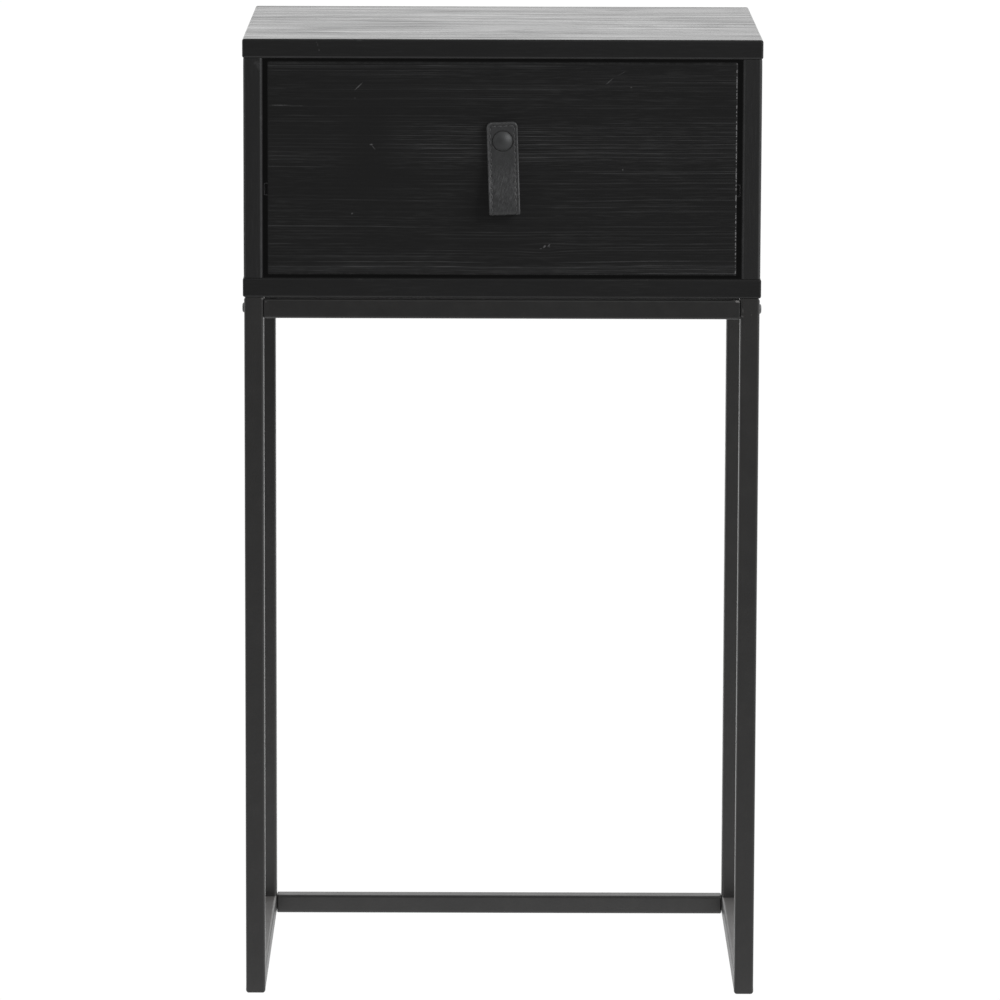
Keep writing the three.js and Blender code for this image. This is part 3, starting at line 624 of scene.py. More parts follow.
def leather_material(name):
    """Smooth anthracite leather: small pebbles, soft creases, paler on its rolled rim, with painted shade in the stitch
    channel and a painted shadow ring round the stud. It reads the strap's flat position, in metres.
    """
    m = Nodes(name)
    at = m.n("ShaderNodeAttribute", attribute_name="flat_pos").outputs["Vector"]

    def flat(scale=(1, 1, 1), rot=(0, 0, 0), loc=(0, 0, 0)):
        q = m.n("ShaderNodeMapping", vector_type="TEXTURE")
        q.inputs["Scale"].default_value, q.inputs["Rotation"].default_value, q.inputs["Location"].default_value = scale, rot, loc
        m.t.links.new(at, q.inputs["Vector"])
        return q.outputs[0]

    v = flat()
    wobble = m.noise(v, 170, 3, 0.6)
    pebble = m.voronoi(v, 1150, feature="SMOOTH_F1")
    pebble2 = m.voronoi(v, 2300, feature="F1")
    # fine slanted creases, thickest over the lower half where the strap is pulled
    rub = m.attr("rub")
    crease = m.noise(flat(rot=(0, 0, -0.33), scale=(0.5, 2.6, 1)), 620, 3, 0.6, 0.15)
    pale = m.math("MULTIPLY", m.ramp(crease, [(0.50, 0.0), (0.64, 1.0)]), rub)
    deep = m.math("MULTIPLY", m.ramp(crease, [(0.36, 1.0), (0.47, 0.0)]), rub)
    arris, sunk = m.attr("arris"), m.attr("sunk")
    c = m.mix(m.ramp(wobble, [(0.3, 0.0), (0.7, 1.0)]), (0.0245, 0.0249, 0.0256), (0.0315, 0.0321, 0.0330))
    c = m.mix(m.math("MULTIPLY", pale, 0.6), c, (0.064, 0.065, 0.067))
    c = m.mix(m.math("MULTIPLY", deep, 0.5), c, (0.014, 0.014, 0.0147))
    rimmed = m.math("MULTIPLY", arris, m.ramp(m.noise(v, 240, 3, 0.6), [(0.38, 0.15), (0.62, 0.8)]))
    c = m.mix(rimmed, c, (0.078, 0.078, 0.08))
    # painted shade in the stitch channel and a painted shadow ring round the stud
    c = m.mix(m.math("MULTIPLY", sunk, 0.85), c, (0.010, 0.010, 0.010))
    rgh = m.mix(pebble, 0.42, 0.58, kind="FLOAT")
    n1 = m.bump(pebble, 0.35, 0.00022)
    n2 = m.bump(pebble2, 0.2, 0.0001, n1)
    n3 = m.bump(crease, 0.3, 0.00025, n2)
    return m.finish(c, rgh, 0.0, n3, spec=0.4)


def thread_material(name):
    m = Nodes(name)
    v = m.coord()
    twist = m.noise(m.coord(rot=(0.3, 0.5, 0.2), scale=(1, 1, 3)), 1800, 2, 0.5)
    c = m.mix(twist, (0.045, 0.045, 0.046), (0.10, 0.10, 0.102))
    return m.finish(c, 0.6, 0.0, m.bump(twist, 0.5, 0.0001), spec=0.3)


def stud_material(name):
    m = Nodes(name)
    v = m.coord()
    brush = m.noise(m.coord(scale=(1, 1, 1)), 1500, 3, 0.6)
    c = m.mix(m.noise(v, 260, 4, 0.6), (0.046, 0.0475, 0.0485), (0.063, 0.0645, 0.066))
    return m.finish(c, m.mix(brush, 0.53, 0.63, kind="FLOAT"), 0.62, m.bump(brush, 0.08, 0.00004), spec=0.5)


MAT = {
    "pine_x": pine_material("brushed_pine_x", "X", 1.0, dark=0.0078, spec=0.16, wear_and_highlight_from=0.60, low_arris_highlight=0.557),
    "pine_x_top": pine_material("brushed_pine_top", "X", 2.0, dark=0.0076, bump=0.3, light=0.03, spec=0.18, wear_and_highlight_from=0.62, low_arris_highlight=0.742, face_rough=(0.155, 0.305), rear_band=0.147,
                                marks=((-142.0, 745.4, 0.4, 1.2, 12, 0.6), (-140.9, 741.4, 0.4, 0.9, 5, 0.9), (-142.8, 747.4, 0.35, 0.5, 0, 0.5))),
    "pine_z": pine_material("brushed_pine_z", "Z", 3.0, dark=0.0116, spec=0.22, rim_highlight=0.5,
                            marks=((-187.6, 729.5, 2.2, 4.5, 14, 0.22), (-189.5, 731.5, 2.6, 1.2, 30, 0.2), (-198.7, 599.0, 0.6, 1.5, 0, 0.9))),
    "pine_front": pine_material("brushed_pine_front", "X", 4.0, dark=0.0064, light=0.088, strokes=0.15, spec=0.12, wear_and_highlight_from=0.44, only_face=True,
                                marks=((-110.6, 713.4, 5.0, 0.5, 44, 1.0), (82.2, 718.0, 4.6, 0.45, 42, 0.55), (91.5, 724.0, 4.2, 0.4, 28, 0.3),
                                       (-100.8, 668.6, 1.6, 0.7, 0, 0.9), (-99.2, 666.4, 2.6, 0.45, -52, 0.6), (-115.6, 615.2, 1.0, 0.7, 20, 0.85),
                                       (98.8, 713.2, 0.8, 0.6, 0, 0.7), (92.6, 649.6, 0.7, 0.9, 0, 0.6), (-113.5, 704.5, 0.8, 0.6, 0, 0.4),
                                       (32.6, 590.0, 1.7, 0.9, 40, 1.0), (36.0, 590.9, 1.8, 0.6, 52, 0.9), (29.8, 588.4, 1.2, 0.5, 10, 0.7), (36.5, 589.8, 0.9, 0.4, 60, 0.5),
                                       (-171.0, 698.7, 10.0, 0.42, 0, 0.75), (-158.0, 698.3, 9.0, 0.3, 1, 0.3))),
    "coat": coat_material("powder_coat", sill=(0.0146, 0.0156, 0.134), marks=((181.6, 547.9, 1.7, 1.2, 0, 1.0), (178.5, 548.9, 3.2, 0.5, -6, 0.3), (185.9, 540.8, 0.7, 2.2, 8, 0.22),
                                                (185.3, 536.2, 1.5, 0.9, 0, 0.32), (192.6, 537.6, 0.5, 0.5, 0, 0.22), (-185.0, 549.0, 1.1, 0.7, 0, 0.5), (-182.0, 546.6, 0.8, 0.6, 0, 0.35))),
    # painted shade: a darker copy of the same powder coat for the cross rails
    "coat_painted_shade": coat_material("powder_coat_painted_shade", base=0.0082, marks=((181.6, 547.9, 1.7, 1.2, 0, 1.0), (178.5, 548.9, 3.2, 0.5, -6, 0.3), (-182.0, 546.6, 0.8, 0.6, 0, 0.35))),
    "fastener": fastener_material("blackened_steel"),
    "bolt": fastener_material("phosphated_steel", (0.088, 0.089, 0.091), 0.46, 0.25),
    "zinc": zinc_material("zinc_plate"),
    "slide": slide_material("black_zinc"),
    "cage": cage_material("black_acetal"),
    "stain_y": stained_material("black_stain_y", "Y", 0.4),
    "stain_x": stained_material("black_stain_x", "X", 1.7),
    "hardboard": hardboard_material("black_hardboard"),
    "dowel": dowel_material("plain_beech"),
    "leather": leather_material("strap_leather"),
    "thread": thread_material("black_thread"),
    "stud": stud_material("gunmetal"),
}


def paint(ob, key):
    ob.data.materials.clear()
    ob.data.materials.append(MAT[key])
    return ob


def settle(ob, body, key, slot, *nodes):
    paint(ob, key)
    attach(ob, body)
    if nodes:
        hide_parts(*nodes)
    return ob


# ------------------------------------------------------------------ carcass
top_pine = Pine(7, 300, depth=0.10, wave=5.0, eyes=((120, 205, 60, 26, 7), (300, 95, 80, 30, 8)), dense=((40, 78), (150, 190), (238, 262)))
top = board("table_top", nb("top_panel"), "X", "+Z", top_pine, 0.56, 6.0, 4.6, r=1.8)
settle(top, "table", "pine_x_top", "black_pine", "top_panel")
base_pine = Pine(17, 300, depth=0.22, wave=3.0)
base = board("carcass_base", nb("bottom_panel"), "X", "-Z", base_pine, 1.1, 6.0, 7.0, r=1.6)
settle(base, "table", "pine_x", "black_pine", "bottom_panel")
for side, s in (("left", "-"), ("right", "+")):
    p = Pine(23 if side == "left" else 29, 300, depth=0.28, wave=3.5, dense=((60, 110), (190, 230)))
    o = board("carcass_side_" + side, nb("side_panel_" + side), "Z", s + "X", p, 0.62, 6.0, 4.4, r=2.4, r_end=0.5)
    settle(o, "table", "pine_z", "black_pine", "side_panel_" + side)

# ------------------------------------------------------------------ drawer front
# rows counted up from the drawer front's lower edge
front_pine = Pine(41, 165, depth=0.24, wave=1.6, dense=((84, 117), (1.6, 7.5)), sharp=0.62, skew=1.5, minor=0.38, loose=(0.08, 0.62),
                  eyes=((213, 22, 16, 7, 2.2),), calm=((76, 26, 95, 42, 0.88), (90, 60, 138, 16, 0.5), (20, 62, 107, 13, 0.8)))
front = board("drawer_face", nb("drawer_front"), "X", "-Y", front_pine, 0.27, 7.0, 3.1, r=1.9, r_end=1.1, edge_wear_and_highlight=0.3, end_rub_and_glint=1.0)
settle(front, "drawer", "pine_front", "black_pine", "drawer_front")


# ------------------------------------------------------------------ tube frame
def square_ring(half, r, seg=7):
    """Rounded square section in (a, b), counter-clockwise, with its outward normals."""
    pts, nrm = [], []
    for q, (sa, sb) in enumerate(((1, 1), (-1, 1), (-1, -1), (1, -1))):
        for i in range(seg + 1):
            t = (q + i / seg) * math.pi / 2
            c, s = math.cos(t), math.sin(t)
            if i == 0:
                pts.append((sa * (half - r) + r * c + 0.3 * s, sb * (half - r) + r * s - 0.3 * c)); nrm.append((c, s))
            pts.append((sa * (half - r) + r * c, sb * (half - r) + r * s)); nrm.append((c, s))
            if i == seg:
                pts.append((sa * (half - r) + r * c - 0.3 * s, sb * (half - r) + r * s + 0.3 * c)); nrm.append((c, s))
    return np.array(pts), np.array(nrm)


SEC, SEC_N = square_ring(7.5, 2.0)


def side_frame(name, x, y0, y1, z0, z1):
    """Four tubes mitred and welded into a ring in the YZ plane; a low dressed bead runs over each mitre."""
    t = 7.5
    cy0, cy1, cz0, cz1 = y0 + t, y1 - t, z0 + t, z1 - t
    corners = [(cy0, cz0), (cy1, cz0), (cy1, cz1), (cy0, cz1)]
    rings = []
    rng = np.random.default_rng(int(abs(x) * 7 + (x > 0)))
    for i in range(4):
        p, q = np.array(corners[i]), np.array(corners[(i + 1) % 4])
        d = (q - p) / np.linalg.norm(q - p)
        L = np.linalg.norm(q - p)
        inward = np.array([-d[1], d[0]])  # towards the inside of the ring
        # ring points: section (a along x, b across, towards the inside)
        # distance along the tube where this section point meets the mitre: at the start +b (inside is shorter), at the end L - b
        a, b = SEC[:, 0], SEC[:, 1]
        stations = [(0.0, 0.13), (0.55, 0.1), (1.2, 0.0), (3.0, 0.0)]
        seq = [(off, lift, 0) for off, lift in stations]
        n_mid = 8
        for k in range(1, n_mid):
            seq.append((k / n_mid, 0.0, 1))
        seq += [(off, lift, 2) for off, lift in stations[::-1][:-1]]
        for off, lift, where in seq:
            if where == 0:
                along = b + off
            elif where == 2:
                along = L - b - off
            else:
                along = (b + 3.0) * (1 - off) + (L - b - 3.0) * off
            jit = lift * (0.75 + 0.5 * rng.random(len(a))) if lift else np.zeros(len(a))
            # the bead is dressed flush on the two outer faces that touch the floor and the carcass
            keep = np.clip(1 + SEC_N[:, 1] * 2.0, 0, 1)
            jit = jit * keep
            pts = p[None, :] + d[None, :] * along[:, None] + inward[None, :] * (b + SEC_N[:, 1] * jit)[:, None]
            rings.append(np.stack([x + a + SEC_N[:, 0] * jit, pts[:, 0], pts[:, 1]], 1))
    ob = loft(name, rings, close=True, caps=False)
    bev = ob.modifiers.new("elbow", "BEVEL")
    bev.width = 0.7 * MM
    bev.segments = 3
    bev.limit_method = "ANGLE"
    bev.angle_limit = math.radians(55)
    bev.harden_normals = False
    return ob


for side in ("left", "right"):
    fl, fr = nb("front_leg_" + side), nb("foot_rail_" + side)
    o = side_frame("side_frame_" + side, (fl[0] + fl[1]) / 2, fr[2], fr[3], fl[4], fl[5])
    settle(o, "table", "coat", "powder_coat", "front_leg_" + side, "rear_leg_" + side, "foot_rail_" + side, "top_rail_" + side)


def rail(name, box):
    """A closed-end square tube with rounded ends, along X."""
    x0, x1, y0, y1, z0, z1 = box
    cy, cz = (y0 + y1) / 2, (z0 + z1) / 2
    r = 0.9
    stations = [(r - r * math.cos(a), r - r * math.sin(a)) for a in np.linspace(0, math.pi / 2, 5)]
    L = x1 - x0
    seq = [(d, i) for d, i in stations] + [(r + 0.3, 0.0)] + [(k / 12 * L, 0.0) for k in range(1, 12)] + [(L - r - 0.3, 0.0)] + [(L - d, i) for d, i in stations[::-1]]
    rings = []
    for d, ins in seq:
        a = SEC[:, 0] - SEC_N[:, 0] * ins
        b = SEC[:, 1] - SEC_N[:, 1] * ins
        rings.append(np.stack([np.full(len(a), x0 + d), cy + a, cz + b], 1))
    return loft(name, rings)


for n in ("front_top", "rear_top", "rear_bottom"):
    settle(rail("rail_" + n, nb("cross_rail_" + n)), "table", "coat_painted_shade", "powder_coat", "cross_rail_" + n)


# ------------------------------------------------------------------ turned pieces
def lathe(name, profile, at, axis, seg=48):
    """profile: (radius, distance along axis) in mm from the axis back to the axis."""
    ax = Vector(axis).normalized()
    q = Vector((0, 0, 1)).rotation_difference(ax).to_matrix()
    prof = [p for p in profile if p[0] > 1e-6]
    verts, faces = [], []
    for r, d in prof:
        for k in range(seg):
            t = 2 * math.pi * k / seg
            verts.append((r * math.cos(t), r * math.sin(t), d))
    K = len(prof)
    closed = profile[0][0] > 1e-6 and profile[-1][0] > 1e-6
    for i in range(K if closed else K - 1):
        for k in range(seg):
            k2 = (k + 1) % seg
            j = (i + 1) % K
            faces.append((i * seg + k, i * seg + k2, j * seg + k2, j * seg + k))
    if not closed:
        s = len(verts)
        verts.append((0, 0, profile[0][1])); verts.append((0, 0, profile[-1][1]))
        for k in range(seg):
            k2 = (k + 1) % seg
            faces.append((s, k2, k))
            faces.append((s + 1, (K - 1) * seg + k, (K - 1) * seg + k2))
    v = np.array([tuple(q @ Vector(p)) for p in verts]) + np.array(at)[None, :]
    ob = make(name, v, faces)
    outward(ob)
    sharpen(ob, 38)
    return ob


def sharpen(ob, degrees):
    """Smooth shading, with edges sharper than this left crisp."""
    me = ob.data
    bm = bmesh.new()
    bm.from_mesh(me)
    for e in bm.edges:
        if len(e.link_faces) == 2 and e.calc_face_angle(0) > math.radians(degrees):
            e.smooth = False
    bm.to_mesh(me)
    bm.free()
    me.update()


def bolt(name, node, sx):
    """Button-head socket bolt along X; sx is the side its head is on."""
    x0, x1, y0, y1, z0, z1 = nb(node)
    cy, cz = (y0 + y1) / 2, (z0 + z1) / 2
    R, H, L = 3.9, 1.6, x1 - x0
    seat = H
    # profile from the head's top: socket floor, socket wall (round, then pressed to a hexagon), dome
    arc = [(1.65 + (R - 0.15 - 1.65) * math.sin(t * math.pi / 2), 0.04 + (H - 0.45) * (1 - math.cos(t * math.pi / 2))) for t in np.linspace(0, 1, 9)]
    prof = [(0.0, 1.75), (0.9, 1.72), (1.43, 1.55), (1.45, 0.25), (1.5, 0.08)] + arc + [(R, seat - 0.28), (R - 0.04, seat - 0.1), (R - 0.16, seat), (2.0, seat)]
    z = seat
    while z < L - 1.5:
        prof += [(2.0, z + 0.13), (2.0, z + 0.26), (1.66, z + 0.48), (2.0, z + 0.7)]
        z += 0.7
    prof += [(1.8, L - 0.5), (1.4, L), (0.0, L)]
    ob = lathe(name, prof, (x0 if sx < 0 else x1, cy, cz), (1 if sx < 0 else -1, 0, 0), 48)
    # press the socket ring into a hexagon
    me = ob.data
    for v in me.vertices:
        d = (v.co.x / MM - (x0 if sx < 0 else x1)) * (1 if sx < 0 else -1)
        dy, dz = v.co.y / MM - cy, v.co.z / MM - cz
        rr = math.hypot(dy, dz)
        if 1.35 < rr < 1.47 and d < 1.6:
            t = math.atan2(dz, dy)
            k = math.cos(math.pi / 6) / math.cos(((t + math.pi / 6) % (math.pi / 3)) - math.pi / 6)
            v.co.y, v.co.z = (cy + 1.45 * k * math.cos(t)) * MM, (cz + 1.45 * k * math.sin(t)) * MM
    me.update()
    return ob


for n in ("front_top", "rear_top", "rear_bottom"):
    for side, s in (("left", -1), ("right", 1)):
        node = f"frame_bolt_{n}_{side}"
        settle(bolt("bolt_" + n + "_" + side, node, s), "table", "bolt", "black_fastener", node)



# ------------------------------------------------------------------ screws
def screw(name, at, axis, head, shank, length, pitch=1.1, point=2.0, recess=True):
    """A cross-recess screw. head: (radius, height, countersunk). at is the top of the head, on its axis; axis points into the work."""
    hr, hh, sunk = head
    if sunk:
        prof = [(0.0, 0.0), (hr * 0.35, 0.0), (hr * 0.7, 0.0), (hr - 0.1, 0.02), (hr, 0.14), (hr - 0.05, 0.35), (shank, hh)]
    else:
        arc = [(hr * math.sin(a), hh * 0.75 * (1 - math.cos(a))) for a in np.linspace(0.12, math.pi / 2, 9)]
        prof = [(0.0, 0.0)] + arc + [(hr, hh - 0.15), (hr - 0.12, hh), (shank, hh)]
    z = prof[-1][1] + 0.6
    while z < length - point:
        prof += [(shank * 0.78, z), (shank, z + pitch * 0.45), (shank * 0.78, z + pitch * 0.9)]
        z += pitch
    prof += [(shank * 0.74, length - point), (shank * 0.2, length - 0.15), (0.0, length)]
    ob = lathe(name, prof, (0, 0, 0), (0, 0, 1), 40)
    if recess:
        # refine the head and press the cross into it
        bm = bmesh.new()
        bm.from_mesh(ob.data)
        es = [e for e in bm.edges if all(v.co.z < hh * 0.6 * MM for v in e.verts) and all(v.co.xy.length < hr * 0.8 * MM for v in e.verts)]
        bmesh.ops.subdivide_edges(bm, edges=es, cuts=2, use_grid_fill=True)
        for v in bm.verts:
            x, y, z = (c / MM for c in v.co)
            if z < hh * 0.6 and math.hypot(x, y) < hr * 0.72:
                w = hr * 0.13
                q = min(abs(x), abs(y)) / w
                if q < 1.5:
                    k = min(1.0, max(0.0, (1.45 - q) / 0.6)) * min(1.0, max(0.0, (hr * 0.66 - math.hypot(x, y)) / (hr * 0.12)))
                    v.co.z += k * hh * 0.5 * MM
        bm.to_mesh(ob.data)
        bm.free()
    q = Vector((0, 0, 1)).rotation_difference(Vector(axis)).to_matrix().to_4x4()
    ob.data.transform(Matrix.Translation(Vector(at) * MM) @ q)
    outward(ob)
    sharpen(ob, 40)
    return ob


for side, s in (("left", -1), ("right", 1)):
    for end in ("front", "rear"):
        n = f"carcass_screw_{end}_{side}"
        b = nb(n)
        settle(screw(n + "_fine", ((b[0] + b[1]) / 2, (b[2] + b[3]) / 2, b[4]), (0, 0, 1), (3.95, 2.6, False), 2.0, b[5] - b[4], 1.3),
               "table", "fastener", "black_fastener", n)
        n = f"slide_channel_screw_{end}_{side}"
        b = nb(n)
        settle(screw(n + "_fine", (b[1] if s < 0 else b[0], (b[2] + b[3]) / 2, (b[4] + b[5]) / 2), (s, 0, 0), (3.0, 1.1, True), 1.6, b[1] - b[0], 1.0),
               "table", "fastener", "black_fastener", n)
        n = f"slide_bar_screw_{end}_{side}"
        b = nb(n)
        settle(screw(n + "_fine", (b[1] if s < 0 else b[0], (b[2] + b[3]) / 2, (b[4] + b[5]) / 2), (s, 0, 0), (3.25, 1.9, False), 1.6, b[1] - b[0], 0.7, 0.8),
               "drawer", "fastener", "black_fastener", n)
b = nb("pull_screw")
settle(screw("pull_screw_fine", ((b[0] + b[1]) / 2, b[3], (b[4] + b[5]) / 2), (0, -1, 0), (3.55, 2.3, False), 1.6, b[3] - b[2], 0.7, 0.8),
       "drawer", "zinc", "black_fastener", "pull_screw")

# ------------------------------------------------------------------ dowels
for edge in ("top", "bottom"):
    for end in ("front", "rear"):
        for side in ("left", "right"):
            n = f"dowel_{edge}_{end}_{side}"
            b = nb(n)
            cx, cy, R = (b[0] + b[1]) / 2, (b[2] + b[3]) / 2, 4.0
            t = np.linspace(0, 2 * math.pi, 96, endpoint=False)
            flute = 0.22 * (0.5 + 0.5 * np.cos(16 * t)) ** 2
            rings = []
            for d, k in ((0, R - 0.85), (0.35, R - 0.35), (1.0, R), (b[5] - b[4] - 1.0, R), (b[5] - b[4] - 0.35, R - 0.35), (b[5] - b[4], R - 0.85)):
                r = k - flute * min(1.0, k / R)
                rings.append(np.stack([cx + r * np.cos(t), cy + r * np.sin(t), np.full(len(t), b[4] + d)], 1))
            o = loft(n + "_fluted", rings)
            sharpen(o, 50)
            settle(o, "table", "dowel", "beech_dowel", n)


# ------------------------------------------------------------------ flat and grooved boards of the drawer box
def round_poly(pts, r, seg=3):
    """A polygon with every corner rounded by r (a list gives each corner its own)."""
    pts = [np.array(p, float) for p in pts]
    out = []
    n = len(pts)
    for i, p in enumerate(pts):
        ri = r[i] if isinstance(r, (list, tuple)) else r
        a, b = pts[i - 1] - p, pts[(i + 1) % n] - p
        a, b = a / np.linalg.norm(a), b / np.linalg.norm(b)
        p0, p1 = p + a * ri, p + b * ri
        for k in range(seg + 1):
            t = k / seg
            out.append((1 - t) ** 2 * p0 + 2 * t * (1 - t) * p + t * t * p1)
    return np.array(out)


def inset_poly(P, d):
    """The polygon pulled in by d along its vertex normals."""
    e = np.roll(P, -1, 0) - P
    e /= np.maximum(np.linalg.norm(e, axis=1, keepdims=True), 1e-9)
    nrm = np.stack([e[:, 1], -e[:, 0]], 1)
    m = nrm + np.roll(nrm, 1, 0)
    m /= np.maximum(np.linalg.norm(m, axis=1, keepdims=True), 1e-9)
    area = np.sum(P[:, 0] * np.roll(P[:, 1], -1) - np.roll(P[:, 0], -1) * P[:, 1])
    return P - m * d * (1 if area > 0 else -1)


def prism(name, P, axis, a, b, r_end=0.5, mid=2):
    """Section polygon P swept along an axis. The section's two axes are the other two, in order."""
    A = "XYZ".index(axis)
    o = [i for i in range(3) if i != A]
    ts = np.linspace(0, math.pi / 2, 4)
    seq = [(a + r_end - r_end * math.cos(t), r_end - r_end * math.sin(t)) for t in ts]
    seq += [(a + (b - a) * k / (mid + 1), 0.0) for k in range(1, mid + 1)]
    seq += [(b - r_end + r_end * math.cos(t), r_end - r_end * math.sin(t)) for t in ts[::-1]]
    rings = []
    for pos, ins in seq:
        Q = inset_poly(P, ins)
        R = np.zeros((len(P), 3))
        R[:, A], R[:, o[0]], R[:, o[1]] = pos, Q[:, 0], Q[:, 1]
        rings.append(R)
    ob = loft(name, rings)
    sharpen(ob, 42)
    return ob


bot = nb("drawer_bottom")
g0, g1 = bot[4] - 0.25, bot[5] + 0.25
for side, s in (("left", -1), ("right", 1)):
    b = nb("drawer_side_" + side)
    xi, xo = (b[1], b[0]) if s < 0 else (b[0], b[1])
    gx = xi + s * 6
    P = [(xo, b[4]), (xo, b[5]), (xi, b[5]), (xi, g1), (gx, g1), (gx, g0), (xi, g0), (xi, b[4])]
    P = round_poly(P, [0.8, 2.2, 2.2, 0.3, 0.2, 0.2, 0.3, 0.8], 4)
    settle(prism("drawer_box_side_" + side, P, "Y", b[2], b[3], 0.5, 6), "drawer", "stain_y", "drawer_box", "drawer_side_" + side)
b = nb("drawer_back")
gy = b[2] + 6
P = [(b[2], b[4]), (b[2], g0), (gy, g0), (gy, g1), (b[2], g1), (b[2], b[5]), (b[3], b[5]), (b[3], b[4])]
P = round_poly(P, [0.8, 0.3, 0.2, 0.2, 0.3, 2.2, 2.2, 0.8], 4)
settle(prism("drawer_box_back", P, "X", b[0], b[1], 0.3, 6), "drawer", "stain_x", "drawer_box", "drawer_back")
P = round_poly([(bot[0], bot[2]), (bot[1], bot[2]), (bot[1], bot[3]), (bot[0], bot[3])], 1.0, 3)
settle(prism("drawer_floor", P, "Z", bot[4], bot[5], 0.3, 1), "drawer", "hardboard", "hardboard", "drawer_bottom")
b = nb("back_panel")
P = round_poly([(b[0], b[4]), (b[1], b[4]), (b[1], b[5]), (b[0], b[5])], 1.5, 3)
settle(prism("carcass_back", P, "Y", b[2], b[3], 0.3, 1), "table", "hardboard", "hardboard", "back_panel")


# ------------------------------------------------------------------ slim ball slides
def strip_ring(path, t, radius):
    """A sheet-metal section of thickness t whose inside line is path, bent with the given outside radius: a closed outline in mm."""
    path = [np.array(p, float) for p in path]
    centre = []
    n = len(path)
    for i, p in enumerate(path):
        if i in (0, n - 1):
            centre.append(p)
            continue
        a, b = path[i - 1] - p, path[i + 1] - p
        a, b = a / np.linalg.norm(a), b / np.linalg.norm(b)
        for k in range(6):
            q = k / 5
            centre.append((1 - q) ** 2 * (p + a * radius) + 2 * q * (1 - q) * p + q * q * (p + b * radius))
    C = np.array(centre)
    d = np.gradient(C, axis=0)
    d /= np.linalg.norm(d, axis=1, keepdims=True)
    nrm = np.stack([-d[:, 1], d[:, 0]], 1)
    A, B = C + nrm * t / 2, C - nrm * t / 2
    e0, e1 = C[0] - d[0] * 0.0, C[-1]
    return np.concatenate([A, B[::-1]])


def merged(name, *objs):
    bm = bmesh.new()
    for o in objs:
        bm.from_mesh(o.data)
    me = bpy.data.meshes.new(name)
    bm.to_mesh(me)
    bm.free()
    for o in objs:
        bpy.data.objects.remove(o)
    ob = bpy.data.objects.new(name, me)
    bpy.context.scene.collection.objects.link(ob)
    return ob


def drilled(ob, holes):
    """Cuts round holes: (centre, axis, radius, length) in mm."""
    cutters = []
    for at, axis, r, length in holes:
        c = lathe("cutter", [(0, 0), (r, 0), (r, length), (0, length)], tuple(np.array(at) - np.array(axis) * length / 2), axis, 28)
        cutters.append(c)
    tool = merged("cutter_all", *cutters)
    m = ob.modifiers.new("holes", "BOOLEAN")
    m.operation, m.solver, m.object = "DIFFERENCE", "EXACT", tool
    dg = bpy.context.evaluated_depsgraph_get()
    me = bpy.data.meshes.new_from_object(ob.evaluated_get(dg))
    ob.modifiers.clear()
    ob.data = me
    bpy.data.objects.remove(tool)
    sharpen(ob, 35)
    return ob


def swept(name, ring_at, ys):
    """ring_at(y) gives an (x, z) outline; the same number of points at each y."""
    rings = []
    for y in ys:
        R = ring_at(y)
        rings.append(np.stack([R[:, 0], np.full(len(R), y), R[:, 1]], 1))
    return loft(name, rings)


